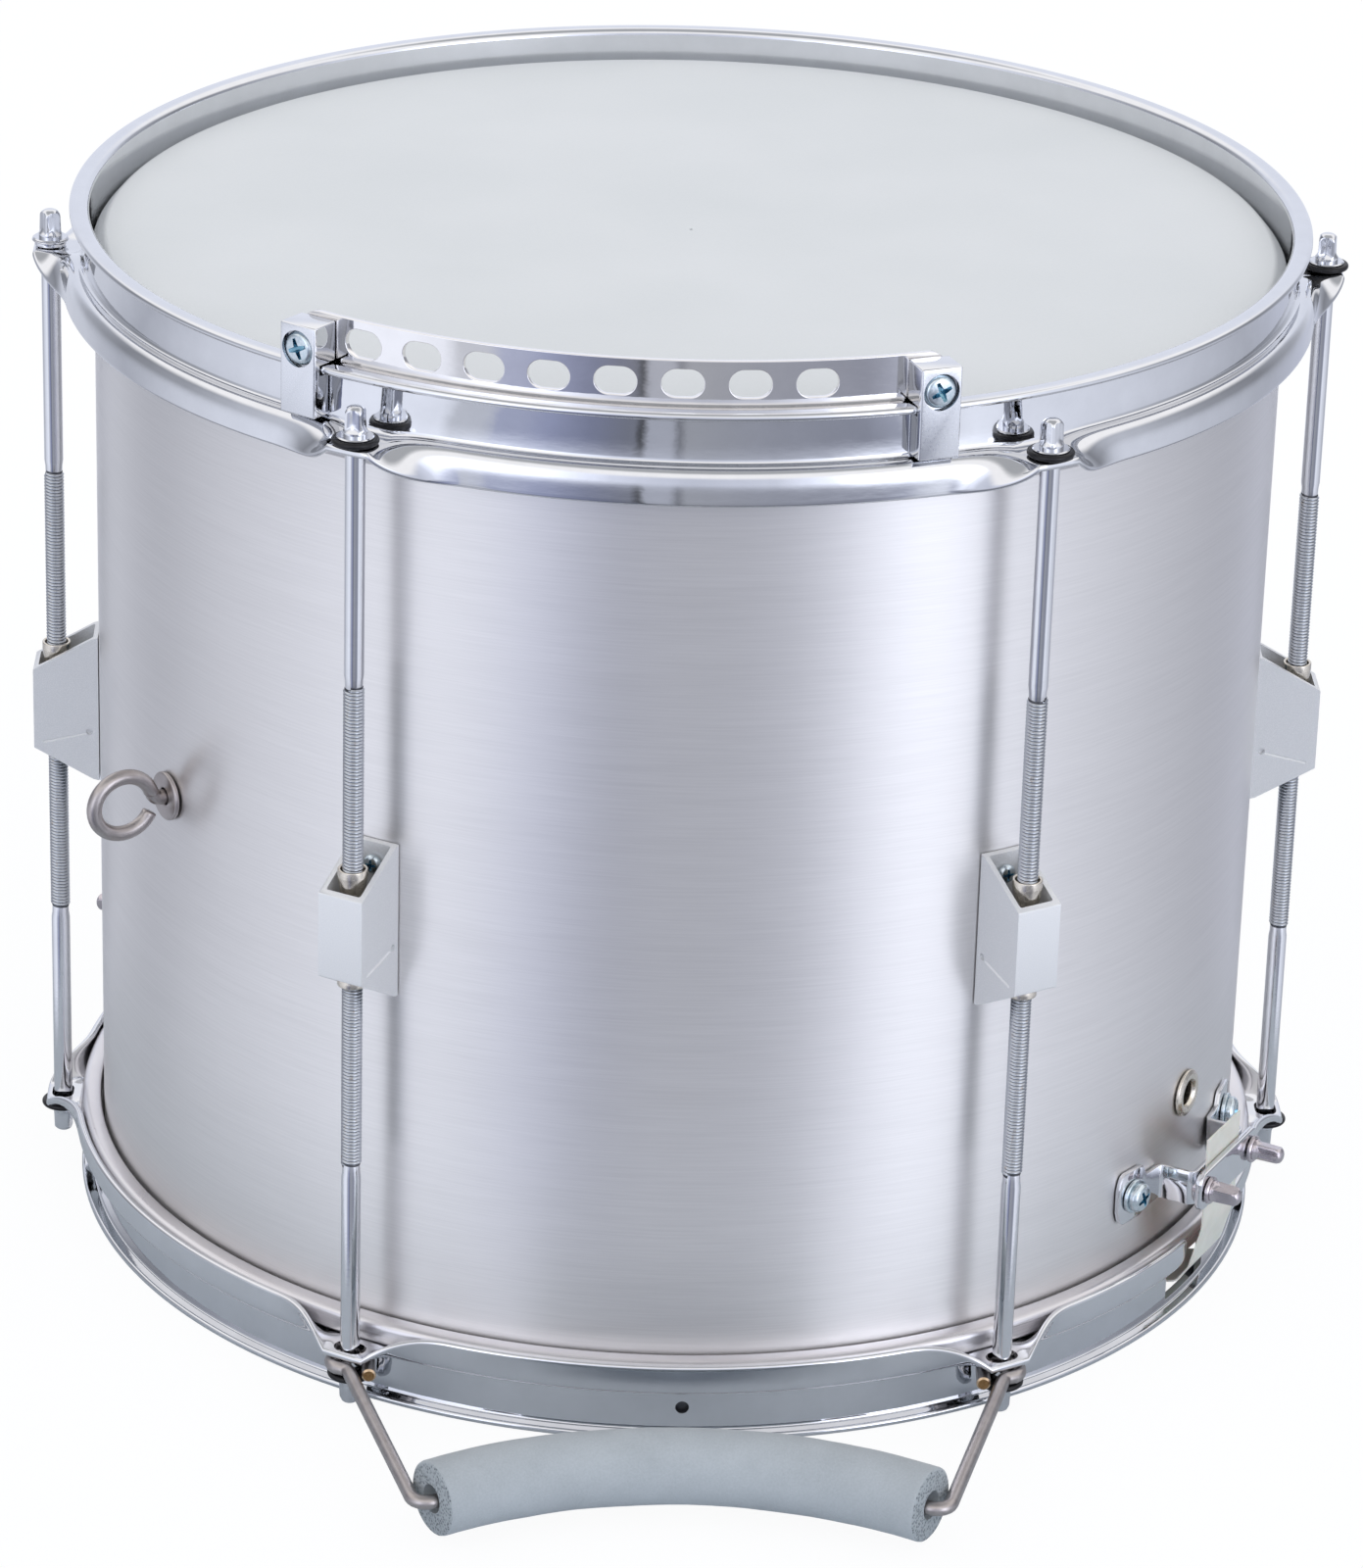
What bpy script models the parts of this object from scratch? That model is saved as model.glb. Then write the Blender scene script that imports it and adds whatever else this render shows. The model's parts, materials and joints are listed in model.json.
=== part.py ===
"""A marching snare drum with an aluminium shell, triple flanged hoops, twelve tension rods and a
leg rest.

The drum's axis is the Z axis and its front faces -Y. Heights are measured from the face of the
bottom rim, which the drum stands on. The whole drum hangs from one empty that puts the origin at
the centre of the batter head. Angles are in degrees, from the front towards +X, and at each of
them an empty gives a local frame: X outwards, Y along the shell, Z up.
"""

import math

import bmesh
import bpy
from mathutils import Matrix, Vector

MM = 0.001

# Clearance between pieces that touch, and between a screw and its threaded hole.
GAP = 0.3 * MM
THREAD_PLAY = 0.1 * MM
RING_SEGMENTS = 60

# Angle of the front, -Y, as Blender counts it from the X axis.
FRONT_FROM_X = -90.0

# Shell: a tube whose ends are folded in to make the bearing edges.
SHELL_RADIUS = 177.8 * MM
SHELL_LENGTH = 300.0 * MM
SHELL_WALL = 1.5 * MM
EDGE_INSET = 3.5 * MM
EDGE_DROP = 4.0 * MM
LIP_REACH = 8.0 * MM
LIP_SLOPE = 1.0 * MM

# Heads and the flesh hoops that hold them.
FILM = 0.3 * MM
FILM_TURN = 10.0 * MM
FILM_STEP = 0.9 * MM
FLESH_TO_SHELL = 1.0 * MM
FLESH_WIDTH = 5.8 * MM
FLESH_TO_SKIRT = 0.7 * MM
FLESH_HEIGHT = 7.8 * MM
FLESH_CHAMFER = 1.4 * MM
GROOVE_INSET = 1.8 * MM
GROOVE_WIDTH = 1.4 * MM
GROOVE_DEPTH = 5.8 * MM
GROOVE_LOW_SIDE = 2.8 * MM

# Triple flanged hoops.
HOOP_SHEET = 2.2 * MM
HOOP_HEIGHT = 26.0 * MM
RIM_RISE = 9.2 * MM
RIM_REACH = 6.0 * MM
HOOP_TO_SHELL = 1.2 * MM
MID_FLANGE_DROP = 15.6 * MM
SKIRT_CORNER = 1.5 * MM
EAR_REACH = 11.0 * MM
EAR_DROP = 1.6 * MM
EAR_RISE = 5.9 * MM
EAR_NECK = 3.2 * MM
EAR_UNDER = 1.0 * MM
EAR_HOLE_PLAY = 0.7 * MM
EAR_DROP_LEAD = 1.3
STATIONS = (-150, -90, -30, 30, 90, 150)

# Share of an ear's reach at angles from its middle, and the angles of the columns between two ears.
EAR_SHAPE = {0.0: 1.0, 1.9: 1.0, 2.6: 0.78, 3.3: 0.35, 4.4: 0.0}
PLAIN_COLUMNS = (11.25, 18.75, 26.25)

# Tension rods: square key head, washer and a plain shaft as thick as its thread.
ROD_TO_SKIRT = 3.7 * MM
ROD_RADIUS = 2.9 * MM
BATTER_ROD_OVER_LUG_CENTRE = 2.5 * MM
SNARE_ROD_UNDER_LUG_CENTRE = 2.1 * MM
ROD_END_CHAMFER = 0.6 * MM
WASHER_RADIUS = 6.7 * MM
WASHER_HEIGHT = 1.8 * MM
COLLAR_RADIUS = 5.35 * MM
COLLAR_HEIGHT = 1.0 * MM
KEY_HALF_WIDTH = 3.0 * MM
KEY_HEIGHT = 7.9 * MM
KEY_DOME = 1.1 * MM

# Lugs with their threaded bushes.
LUG_UNDER_MIDDLE = 6.7 * MM
LUG_BACK_HEIGHT = 47.4 * MM
LUG_FRONT_HEIGHT = 25.9 * MM
LUG_DEPTH = 19.9 * MM
LUG_WIDTH = 14.4 * MM
LUG_WALL = 2.0 * MM
SHELF_DROP = 8.5 * MM
SHELF_THICKNESS = 2.0 * MM
BUSH_LENGTH = 37.1 * MM
BUSH_RADIUS = 4.35 * MM
BUSH_WAIST = 3.75 * MM
BUSH_TAPER = 7.0 * MM

# Slotted plate on the rim with the two blocks that clamp it.
PLATE_TO_RIM = 0.7 * MM
PLATE_THICKNESS = 1.8 * MM
PLATE_BELOW_SCREW = 10.4 * MM
PLATE_ABOVE_SCREW = 9.8 * MM
PLATE_ENDS = (-38.6, 21.85)
PLATE_CORNER = 6.0 * MM
SLOT_FIRST = -32.5
SLOT_PITCH = 6.04
SLOT_COUNT = 8
SLOT_LENGTH = 10.8 * MM
SLOT_WIDTH = 7.5 * MM
SLOT_ABOVE_SCREW = 2.5 * MM
BLOCK_ANGLES = (-36.6, 19.7)
BLOCK_SIDE_WALL = 0.7 * MM
BLOCK_TOP_WALL = 1.0 * MM
BLOCK_FRONT_WALL = 3.0 * MM
BLOCK_OVER_FLANGE = 0.5 * MM
CLAMP_RISE = 3.3 * MM
CLAMP_HEAD_RADIUS = 5.0 * MM
CLAMP_HEAD_PLAY = 0.3 * MM
CLAMP_HEAD_HEIGHT = 2.2 * MM
CLAMP_RECESS = 2.2 * MM
CLAMP_SHANK_RADIUS = 2.3 * MM
CLAMP_SHANK_PLAY = 0.4 * MM
CLAMP_SHANK_PAST_PLATE = 5.4 * MM

# A pan head's edge, as a share of its height, and its flat top, as a share of its radius.
SCREW_EDGE = 0.6
SCREW_CROWN = 0.7

# Sling eye.
EYE_ANGLE = -58.5
EYE_HEIGHT = 163.1 * MM
EYE_WIRE_RADIUS = 2.25 * MM
EYE_RING_RADIUS = 8.85 * MM
EYE_STRETCH = 1.08
EYE_STAND_OFF = 5.6 * MM
EYE_SHANK_INSIDE = 9.0 * MM
EYE_NECK = 2.6 * MM
EYE_OPEN_DEGREES = 25.0
EYE_WASHER_RADIUS = 7.4 * MM
EYE_WASHER_HEIGHT = 1.5 * MM
EYE_HOLE_PLAY = 0.35 * MM

# Vent grommet.
VENT_ANGLE = 60.0
VENT_HEIGHT = 68.7 * MM
VENT_FLANGE_RADIUS = 7.5 * MM
VENT_FLANGE = 1.3 * MM
VENT_BARREL_RADIUS = 5.4 * MM
VENT_BORE_RADIUS = 3.75 * MM
VENT_INNER_RADIUS = 6.6 * MM
VENT_INNER_FLANGE = 0.8 * MM
VENT_PLAY = 0.4 * MM

# Snare butt: a bridge with two feet, a clamp bar and its key screws.
BUTT_ANGLE = 60.5
CLAMP_HEIGHT = 46.2 * MM
BRIDGE_SHEET = 1.5 * MM
BRIDGE_RISE = 12.2 * MM
BRIDGE_HALF_WIDTH = 18.5 * MM
BRIDGE_HEIGHT = 11.0 * MM
FOOT_CENTRE = 33.4 * MM
FOOT_WIDTH = 14.0 * MM
FOOT_HEIGHT = 17.0 * MM
FOOT_CHAMFER = 2.5 * MM
BAR_THICKNESS = 2.2 * MM
BAR_HALF_LENGTH = 21.0 * MM
BAR_HEIGHT = 12.0 * MM
BAR_CORNER = 4.0 * MM
KEY_SCREW_SPREAD = 16.0 * MM
KEY_SCREW_RADIUS = 2.0 * MM
KEY_SCREW_HOLE_PLAY = 0.4 * MM
KEY_SCREW_TAIL = 9.0 * MM
KEY_SCREW_COLLAR_RADIUS = 4.7 * MM
KEY_SCREW_COLLAR = 1.8 * MM
KEY_SCREW_HEAD = 9.3 * MM
FOOT_SCREW_RISE = 1.3 * MM
FOOT_SCREW_RADIUS = 1.8 * MM
FOOT_SCREW_PLAY = 0.4 * MM
FOOT_SCREW_HEAD_RADIUS = 4.5 * MM
FOOT_SCREW_HEAD = 2.8 * MM
FOOT_SCREW_WASHER_RADIUS = 5.4 * MM
FOOT_SCREW_WASHER = 1.2 * MM
FOOT_SCREW_INSIDE = 8.0 * MM

# Snare straps, the gates in the bottom hoop that they pass, and the snare wires.
STRAP_THICKNESS = 0.5 * MM
STRAP_WIDTH = 24.0 * MM
STRAP_TAIL = 8.0 * MM
STRAP_BEND_HEIGHT = 30.0 * MM
STRAP_UNDER_HOOP = 2.0 * MM
STRAP_DIP = 3.0 * MM
STRAP_SIDE_PLAY = 1.5 * MM
GATE_FLOOR = 4.0 * MM
WIRE_COUNT = 14
WIRE_PITCH = 2.6 * MM
WIRE_WIDTH = 1.2 * MM
WIRE_PLATE_INSET = 13.8 * MM
WIRE_PLATE_DEPTH = 14.0 * MM
STRAP_ON_PLATE = 12.0 * MM
WIRE_SLOPE = 3.0 * MM

# Strainer on the far side: bracket with rails, slide, lever and tension knob.
STRAINER_ANGLE = BUTT_ANGLE - 180.0
BRACKET_RISE = 17.8 * MM
BRACKET_HEIGHT = 54.0 * MM
BRACKET_BASE = 2.5 * MM
BRACKET_ARC = 9.5
RAIL_INSIDE = 14.0 * MM
RAIL_THICKNESS = 3.0 * MM
RAIL_PAST_SLIDE = 6.0 * MM
BRACKET_BRIDGE = 6.0 * MM
SLIDE_PLAY = 0.3 * MM
SLIDE_BACK_PLAY = 0.9 * MM
SLIDE_TOE_PLAY = 2.3 * MM
SLIDE_TOE_HALF_WIDTH = 20.0 * MM
SLIDE_TOE_THICKNESS = 3.0 * MM
SLIDE_TOP_DROP = 18.3 * MM
KNOB_INSET = 5.2 * MM
KNOB_RADIUS = 7.0 * MM
KNOB_HEIGHT = 9.0 * MM
KNOB_CHAMFER = 1.2 * MM
KNOB_SCREW_RADIUS = 2.5 * MM
LEVER_PIVOT_INSET = 11.0 * MM
LEVER_PIVOT_RISE = 16.0 * MM
LEVER_PIN_RADIUS = 2.0 * MM
LEVER_ARM = 2.0 * MM
LEVER_ARM_HEIGHT = 9.0 * MM
LEVER_PLATE = 3.0 * MM
LEVER_PLAY = 1.5 * MM
LEVER_TOP = 35.5 * MM
BASE_SCREW_ARC = 24.0 * MM

# Leg rest: a bent wire held under the two front bottom washers, with a foam roll on it.
REST_WIRE_RADIUS = 2.1 * MM
REST_STATION = 30.0
REST_EYE_PLAY = 0.4 * MM
REST_TAIL_OUT = 4.8 * MM
REST_TAIL_ACROSS = 9.4 * MM
REST_EYE_END = 345.0
REST_LEAVES_EYE = 25.0
REST_ELBOW = 3.0 * MM
REST_BEND = 4.0 * MM
REST_BEND_REACH = 6.0 * MM
FOAM_RADIUS = 11.2 * MM
FOAM_BORE_PLAY = 2.15 * MM
FOAM_WIRE_GAP = 0.55 * MM
FOAM_END_INSET = 25.2 * MM
FOAM_STAND_OFF = 46.5 * MM
FOAM_CURVE = 133.3 * MM
FOAM_SIDES = 12
FOAM_STEPS = 12

# Radii that follow from the sizes above.
HOOP_WALL_RADIUS = SHELL_RADIUS + HOOP_TO_SHELL
FLESH_RADIUS = SHELL_RADIUS + FLESH_TO_SHELL
FLESH_OUTER = FLESH_RADIUS + FLESH_WIDTH
SKIRT_RADIUS = FLESH_OUTER + FLESH_TO_SKIRT + HOOP_SHEET
ROD_CIRCLE = SKIRT_RADIUS + ROD_TO_SKIRT
PLATE_OUTER = HOOP_WALL_RADIUS - PLATE_TO_RIM
PLATE_RADIUS = PLATE_OUTER - PLATE_THICKNESS
BLOCK_FRONT = HOOP_WALL_RADIUS + RIM_REACH + BLOCK_FRONT_WALL
LUG_BACK = SHELL_RADIUS + GAP
BRIDGE_FRONT = SHELL_RADIUS + BRIDGE_RISE
STRAP_RADIUS = BRIDGE_FRONT + GAP + STRAP_THICKNESS / 2
BAR_BACK = BRIDGE_FRONT + 2 * GAP + STRAP_THICKNESS
BAR_FRONT = BAR_BACK + BAR_THICKNESS
WIRE_PLATE_OUTER = SHELL_RADIUS - WIRE_PLATE_INSET
WIRE_PLATE_INNER = WIRE_PLATE_OUTER - WIRE_PLATE_DEPTH
RAIL_FRONT = BRIDGE_FRONT + RAIL_PAST_SLIDE
KNOB_CIRCLE = RAIL_FRONT - KNOB_INSET
LEVER_PIVOT_RADIUS = RAIL_FRONT - LEVER_PIVOT_INSET
REST_EYE_RADIUS = ROD_RADIUS + REST_WIRE_RADIUS + REST_EYE_PLAY
FOAM_BORE_RADIUS = REST_WIRE_RADIUS + FOAM_BORE_PLAY
FOAM_MIDDLE = SHELL_RADIUS + FOAM_STAND_OFF
FOAM_HALF_SPAN = ROD_CIRCLE * math.sin(math.radians(REST_STATION)) - FOAM_END_INSET

# Heights that follow from the sizes above.
TOTAL_HEIGHT = SHELL_LENGTH + 2 * RIM_RISE
SHELL_TOP = TOTAL_HEIGHT - RIM_RISE
HEAD_FACE = SHELL_TOP + GAP + FILM
MID_FLANGE_TOP = TOTAL_HEIGHT - MID_FLANGE_DROP
EAR_FACE = MID_FLANGE_TOP - EAR_DROP
FLESH_TOP = MID_FLANGE_TOP - HOOP_SHEET - GAP
ROD_SEAT = EAR_FACE + GAP
LUG_CENTRE = TOTAL_HEIGHT / 2 - LUG_UNDER_MIDDLE
BATTER_ROD_LENGTH = ROD_SEAT - LUG_CENTRE - BATTER_ROD_OVER_LUG_CENTRE
SNARE_ROD_LENGTH = LUG_CENTRE - SNARE_ROD_UNDER_LUG_CENTRE - TOTAL_HEIGHT + ROD_SEAT
CLAMP_SCREW_HEIGHT = TOTAL_HEIGHT + CLAMP_RISE
REST_HEIGHT = TOTAL_HEIGHT - ROD_SEAT - REST_WIRE_RADIUS
SNARE_FACE = TOTAL_HEIGHT - HEAD_FACE
STRAP_INNER_HEIGHT = SNARE_FACE - GAP - STRAP_THICKNESS / 2
FOOT_SCREW_HEIGHT = CLAMP_HEIGHT + FOOT_SCREW_RISE
BRACKET_LOW = CLAMP_HEIGHT + BRACKET_RISE
BRACKET_HIGH = BRACKET_LOW + BRACKET_HEIGHT
SLIDE_TOP = BRACKET_HIGH - SLIDE_TOP_DROP
LEVER_PIVOT_HEIGHT = BRACKET_LOW + LEVER_PIVOT_RISE


def linear(channel):
    """One sRGB channel, 0 to 255, as linear light."""
    value = channel / 255
    if value <= 0.04045:
        return value / 12.92
    return ((value + 0.055) / 1.055) ** 2.4


def material(name, colour, roughness, metallic):
    made = bpy.data.materials.new(name)
    made.use_nodes = True
    shader = made.node_tree.nodes["Principled BSDF"]
    channels = [int(colour[start:start + 2], 16) for start in (0, 2, 4)]
    shader.inputs["Base Color"].default_value = (*[linear(channel) for channel in channels], 1)
    shader.inputs["Roughness"].default_value = roughness
    shader.inputs["Metallic"].default_value = metallic
    return made


def clear_scene():
    for obj in list(bpy.data.objects):
        bpy.data.objects.remove(obj)


def empty(name, parent=None, location=(0, 0, 0), turn=0.0):
    made = bpy.data.objects.new(name, None)
    bpy.context.scene.collection.objects.link(made)
    made.parent = parent
    made.location = location
    made.rotation_euler.z = math.radians(turn)
    return made


def add(name, data, finish, parent, location=(0, 0, 0)):
    """Adds one sub-part. Its data is a mesh or a curve, in its parent's frame."""
    made = bpy.data.objects.new(name, data)
    bpy.context.scene.collection.objects.link(made)
    made.parent = parent
    made.location = location
    if not data.materials:
        data.materials.append(finish)
    return made


def at_angle(name, angle, drum):
    """An empty on the drum's axis whose X points outwards at this angle."""
    return empty(name, drum, turn=angle + FRONT_FROM_X)


def finished(work, name="mesh"):
    """Turns a bmesh into a mesh with its faces pointing out and smooth shading between soft edges."""
    bmesh.ops.recalc_face_normals(work, faces=work.faces)
    mesh = bpy.data.meshes.new(name)
    work.to_mesh(mesh)
    work.free()
    mesh.shade_smooth()
    mesh.set_sharp_from_angle(angle=math.radians(35))
    return mesh


def loft(sections, name="loft", ring=False):
    """Joins loops of the same count. The ends are capped, or meet each other in a ring."""
    work = bmesh.new()
    loops = [[work.verts.new(point) for point in section] for section in sections]
    following = loops[1:] + loops[:1] if ring else loops[1:]
    for this, other in zip(loops, following):
        for index in range(len(this)):
            after = (index + 1) % len(this)
            work.faces.new((this[index], this[after], other[after], other[index]))
    if not ring:
        work.faces.new(loops[0])
        work.faces.new(loops[-1])
    return finished(work, name)


def circle(radius, height, sides, start=0.0):
    """Points of a level circle about the Z axis."""
    angles = [math.radians(start) + 2 * math.pi * step / sides for step in range(sides)]
    return [(radius * math.cos(angle), radius * math.sin(angle), height) for angle in angles]


def square(half_width, height):
    """A square on eight points, which matches an eight sided circle."""
    points = []
    for x, y, _ in circle(1, 0, 8):
        scale = half_width / max(abs(x), abs(y))
        points.append((x * scale, y * scale, height))
    return points


def turned(profile, sides, start=0.0, name="turned"):
    """A closed (radius, height) profile spun into a ring about the Z axis."""
    sections = []
    for step in range(sides):
        angle = math.radians(start) + 2 * math.pi * step / sides
        sections.append([(r * math.cos(angle), r * math.sin(angle), z) for r, z in profile])
    return loft(sections, name, ring=True)


def cylinder(radius, low, high, sides):
    return loft([circle(radius, low, sides, 180 / sides), circle(radius, high, sides, 180 / sides)])


def prism(outline, low, high, axis):
    """An outline extruded along X, Y or Z. Its points hold the other two coordinates in order."""
    sections = []
    for depth in (low, high):
        section = []
        for first, second in outline:
            point = [first, second]
            point.insert("XYZ".index(axis), depth)
            section.append(point)
        sections.append(section)
    return loft(sections)


def box(x_span, y_span, z_span):
    (x_low, x_high), (y_low, y_high) = x_span, y_span
    corners = [(x_low, y_low), (x_high, y_low), (x_high, y_high), (x_low, y_high)]
    return prism(corners, *z_span, "Z")


def rounded_box(half_length, half_height, corner, steps=3):
    """Outline of a rectangle with round corners, centred on zero."""
    outline = []
    for quarter in range(4):
        centre_x = (half_length - corner) * (1 if quarter in (0, 3) else -1)
        centre_y = (half_height - corner) * (1 if quarter in (0, 1) else -1)
        for step in range(steps + 1):
            angle = math.pi / 2 * (quarter + step / steps)
            outline.append((centre_x + corner * math.cos(angle), centre_y + corner * math.sin(angle)))
    return outline


def moved(mesh, x=0.0, y=0.0, z=0.0, turn=0.0):
    """Shifts a mesh, then turns it about the Z axis by this many degrees."""
    mesh.transform(Matrix.Rotation(math.radians(turn), 4, "Z") @ Matrix.Translation((x, y, z)))
    return mesh


def along_x(mesh):
    """Lays a mesh made about the Z axis along the X axis, with its top facing outwards."""
    mesh.transform(Matrix.Rotation(math.pi / 2, 4, "Y"))
    return mesh


def upside_down(mesh):
    """The same piece at the other end of the drum: a mirror image about the middle of its height."""
    made = mesh.copy()
    made.transform(Matrix.Translation((0, 0, TOTAL_HEIGHT)) @ Matrix.Scale(-1, 4, (0, 0, 1)))
    made.flip_normals()
    return made


def joined(meshes):
    """Puts meshes that don't touch into one, to serve as a single cutter."""
    work = bmesh.new()
    for mesh in meshes:
        work.from_mesh(mesh)
    return finished(work)


def combined(mesh, others, operation="DIFFERENCE"):
    """Cuts the other meshes from a mesh, or unites them with it."""
    base = bpy.data.objects.new("base", mesh)
    bpy.context.scene.collection.objects.link(base)
    helpers = []
    for other in others:
        helper = bpy.data.objects.new("helper", other)
        bpy.context.scene.collection.objects.link(helper)
        modifier = base.modifiers.new(operation.lower(), "BOOLEAN")
        modifier.operation = operation
        modifier.object = helper
        helpers.append(helper)
    graph = bpy.context.evaluated_depsgraph_get()
    result = bpy.data.meshes.new_from_object(base.evaluated_get(graph))
    for helper in (base, *helpers):
        bpy.data.objects.remove(helper)
    result.materials.clear()
    return result


def offset(path, distance):
    """A path moved sideways, to its left, with mitred corners."""
    normals = []
    for start, end in zip(path, path[1:]):
        along = (Vector(end) - Vector(start)).normalized()
        normals.append(Vector((-along.y, along.x)))
    shifted = []
    for index, point in enumerate(path):
        before = normals[max(index - 1, 0)]
        after = normals[min(index, len(normals) - 1)]
        mitre = (before + after) / (1 + before.dot(after))
        shifted.append(tuple(Vector(point) + mitre * distance))
    return shifted


def thickened(path, thickness):
    """A closed outline round a path, as a sheet bent along it."""
    return offset(path, thickness / 2) + offset(path, -thickness / 2)[::-1]


def arc(centre, radius, start, end, steps):
    """Points on a circle in a plane, from one angle to another in degrees."""
    points = []
    for step in range(steps + 1):
        angle = math.radians(start + (end - start) * step / steps)
        points.append(Vector(centre) + radius * Vector((math.cos(angle), math.sin(angle))))
    return points


def fillet(before, corner, after, radius, steps=5):
    """The round stretch that replaces a corner of a path."""
    towards_before = (Vector(before) - Vector(corner)).normalized()
    towards_after = (Vector(after) - Vector(corner)).normalized()
    half = towards_before.angle(towards_after) / 2
    middle = (towards_before + towards_after).normalized()
    centre = Vector(corner) + middle * radius / math.sin(half)
    first = Vector(corner) + towards_before * radius / math.tan(half) - centre
    sweep = first.angle_signed(Vector(corner) + towards_after * radius / math.tan(half) - centre)
    points = []
    for step in range(steps + 1):
        points.append(centre + Matrix.Rotation(-sweep * step / steps, 2) @ first)
    return points


def wire_curve(name, points, radius):
    """A round wire through these points, with flat cut ends."""
    curve = bpy.data.curves.new(name, "CURVE")
    curve.dimensions = "3D"
    curve.bevel_depth = radius
    curve.bevel_resolution = 2
    curve.use_fill_caps = True
    spline = curve.splines.new("POLY")
    spline.points.add(len(points) - 1)
    for spot, point in zip(spline.points, points):
        spot.co = (*point, 1)
    return curve


def shell_mesh():
    edge = [
        (SHELL_RADIUS, -EDGE_DROP),
        (SHELL_RADIUS - EDGE_INSET, 0),
        (SHELL_RADIUS - LIP_REACH, -LIP_SLOPE),
        (SHELL_RADIUS - LIP_REACH, -LIP_SLOPE - SHELL_WALL),
        (SHELL_RADIUS - SHELL_WALL, -EDGE_DROP - LIP_SLOPE),
    ]
    top = [(r, SHELL_TOP + z) for r, z in edge]
    bottom = [(r, RIM_RISE - z) for r, z in edge]
    shell = turned(top + bottom[::-1], RING_SEGMENTS, 180 / RING_SEGMENTS, "shell")
    holes = [radial_hole(VENT_ANGLE, 0, VENT_HEIGHT, VENT_BARREL_RADIUS + VENT_PLAY, 12)]
    holes.append(radial_hole(EYE_ANGLE, 0, EYE_HEIGHT, EYE_WIRE_RADIUS + EYE_HOLE_PLAY, 12))
    for side in (-1, 1):
        foot = BUTT_ANGLE + side * arc_degrees(FOOT_CENTRE)
        base = STRAINER_ANGLE + side * arc_degrees(BASE_SCREW_ARC)
        screw_hole = FOOT_SCREW_RADIUS + FOOT_SCREW_PLAY
        holes.append(radial_hole(foot, 0, FOOT_SCREW_HEIGHT, screw_hole, 8))
        holes.append(radial_hole(base, 0, (BRACKET_LOW + BRACKET_HIGH) / 2, screw_hole, 8))
    return combined(shell, [joined(holes)])


def arc_degrees(length):
    """The angle that a length along the shell covers."""
    return math.degrees(length / SHELL_RADIUS)


def radial_hole(angle, across, height, radius, sides):
    """A cutter through the shell, or through what lies on it, at one angle."""
    cutter = along_x(cylinder(radius, SHELL_RADIUS - 2 * LIP_REACH, SHELL_RADIUS + 2 * LIP_REACH, sides))
    return moved(cutter, y=across, z=height, turn=angle + FRONT_FROM_X)


def head_mesh():
    """The film lies over the bearing edge, turns down outside the shell and ends in its hoop."""
    groove_middle = FLESH_RADIUS + GROOVE_INSET + GROOVE_WIDTH / 2
    edge = [
        (0, SHELL_TOP),
        (SHELL_RADIUS - EDGE_INSET, SHELL_TOP),
        (SHELL_RADIUS, SHELL_TOP - EDGE_DROP),
        (SHELL_RADIUS, SHELL_TOP - FILM_TURN),
    ]
    path = offset(edge, GAP + FILM / 2)
    path.append((groove_middle, SHELL_TOP - FILM_TURN - FILM_STEP))
    path.append((groove_middle, FLESH_TOP - GROOVE_DEPTH + GAP))
    outer = offset(path, FILM / 2)[1:]
    inner = offset(path, -FILM / 2)[1:]
    start = 180 / RING_SEGMENTS
    rings = [circle(r, z, RING_SEGMENTS, start) for r, z in outer + inner[::-1]]
    return loft(rings, "head")


def flesh_hoop_mesh():
    inner = FLESH_RADIUS
    outer = FLESH_OUTER
    bottom = FLESH_TOP - FLESH_HEIGHT
    profile = [
        (inner, bottom),
        (outer, bottom),
        (outer, FLESH_TOP - FLESH_CHAMFER),
        (outer - FLESH_CHAMFER, FLESH_TOP),
        (inner + GROOVE_INSET + GROOVE_WIDTH, FLESH_TOP),
        (inner + GROOVE_INSET + GROOVE_WIDTH, FLESH_TOP - GROOVE_DEPTH),
        (inner + GROOVE_INSET, FLESH_TOP - GROOVE_DEPTH),
        (inner + GROOVE_INSET, FLESH_TOP - GROOVE_LOW_SIDE),
        (inner, FLESH_TOP - GROOVE_LOW_SIDE),
    ]
    return turned(profile, RING_SEGMENTS, 180 / RING_SEGMENTS, "flesh_hoop")


def hoop_section(angle, ear):
    """The hoop's section at one angle. ear goes from 0 on the plain skirt to 1 on an ear."""
    inner = HOOP_WALL_RADIUS
    outer = inner + HOOP_SHEET
    rim = inner + RIM_REACH
    reach = SKIRT_RADIUS + EAR_REACH * ear
    face = MID_FLANGE_TOP - EAR_DROP * min(1, EAR_DROP_LEAD * ear)
    skirt_end = TOTAL_HEIGHT - HOOP_HEIGHT + EAR_RISE * ear
    flange_under = MID_FLANGE_TOP - HOOP_SHEET
    profile = [
        (inner, TOTAL_HEIGHT),
        (rim, TOTAL_HEIGHT),
        (rim, TOTAL_HEIGHT - HOOP_SHEET),
        (outer, TOTAL_HEIGHT - HOOP_SHEET),
        (outer, MID_FLANGE_TOP),
        (outer + EAR_NECK, face),
        (reach - SKIRT_CORNER, face),
        (reach, face - SKIRT_CORNER),
        (reach, skirt_end),
        (reach - HOOP_SHEET, skirt_end),
        (reach - HOOP_SHEET, face - HOOP_SHEET),
        (FLESH_OUTER + FLESH_TO_SKIRT / 2, face - HOOP_SHEET),
        (FLESH_OUTER - EAR_UNDER, flange_under),
        (inner, flange_under),
    ]
    turn = math.radians(angle + FRONT_FROM_X)
    return [(r * math.cos(turn), r * math.sin(turn), z) for r, z in profile]


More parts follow.
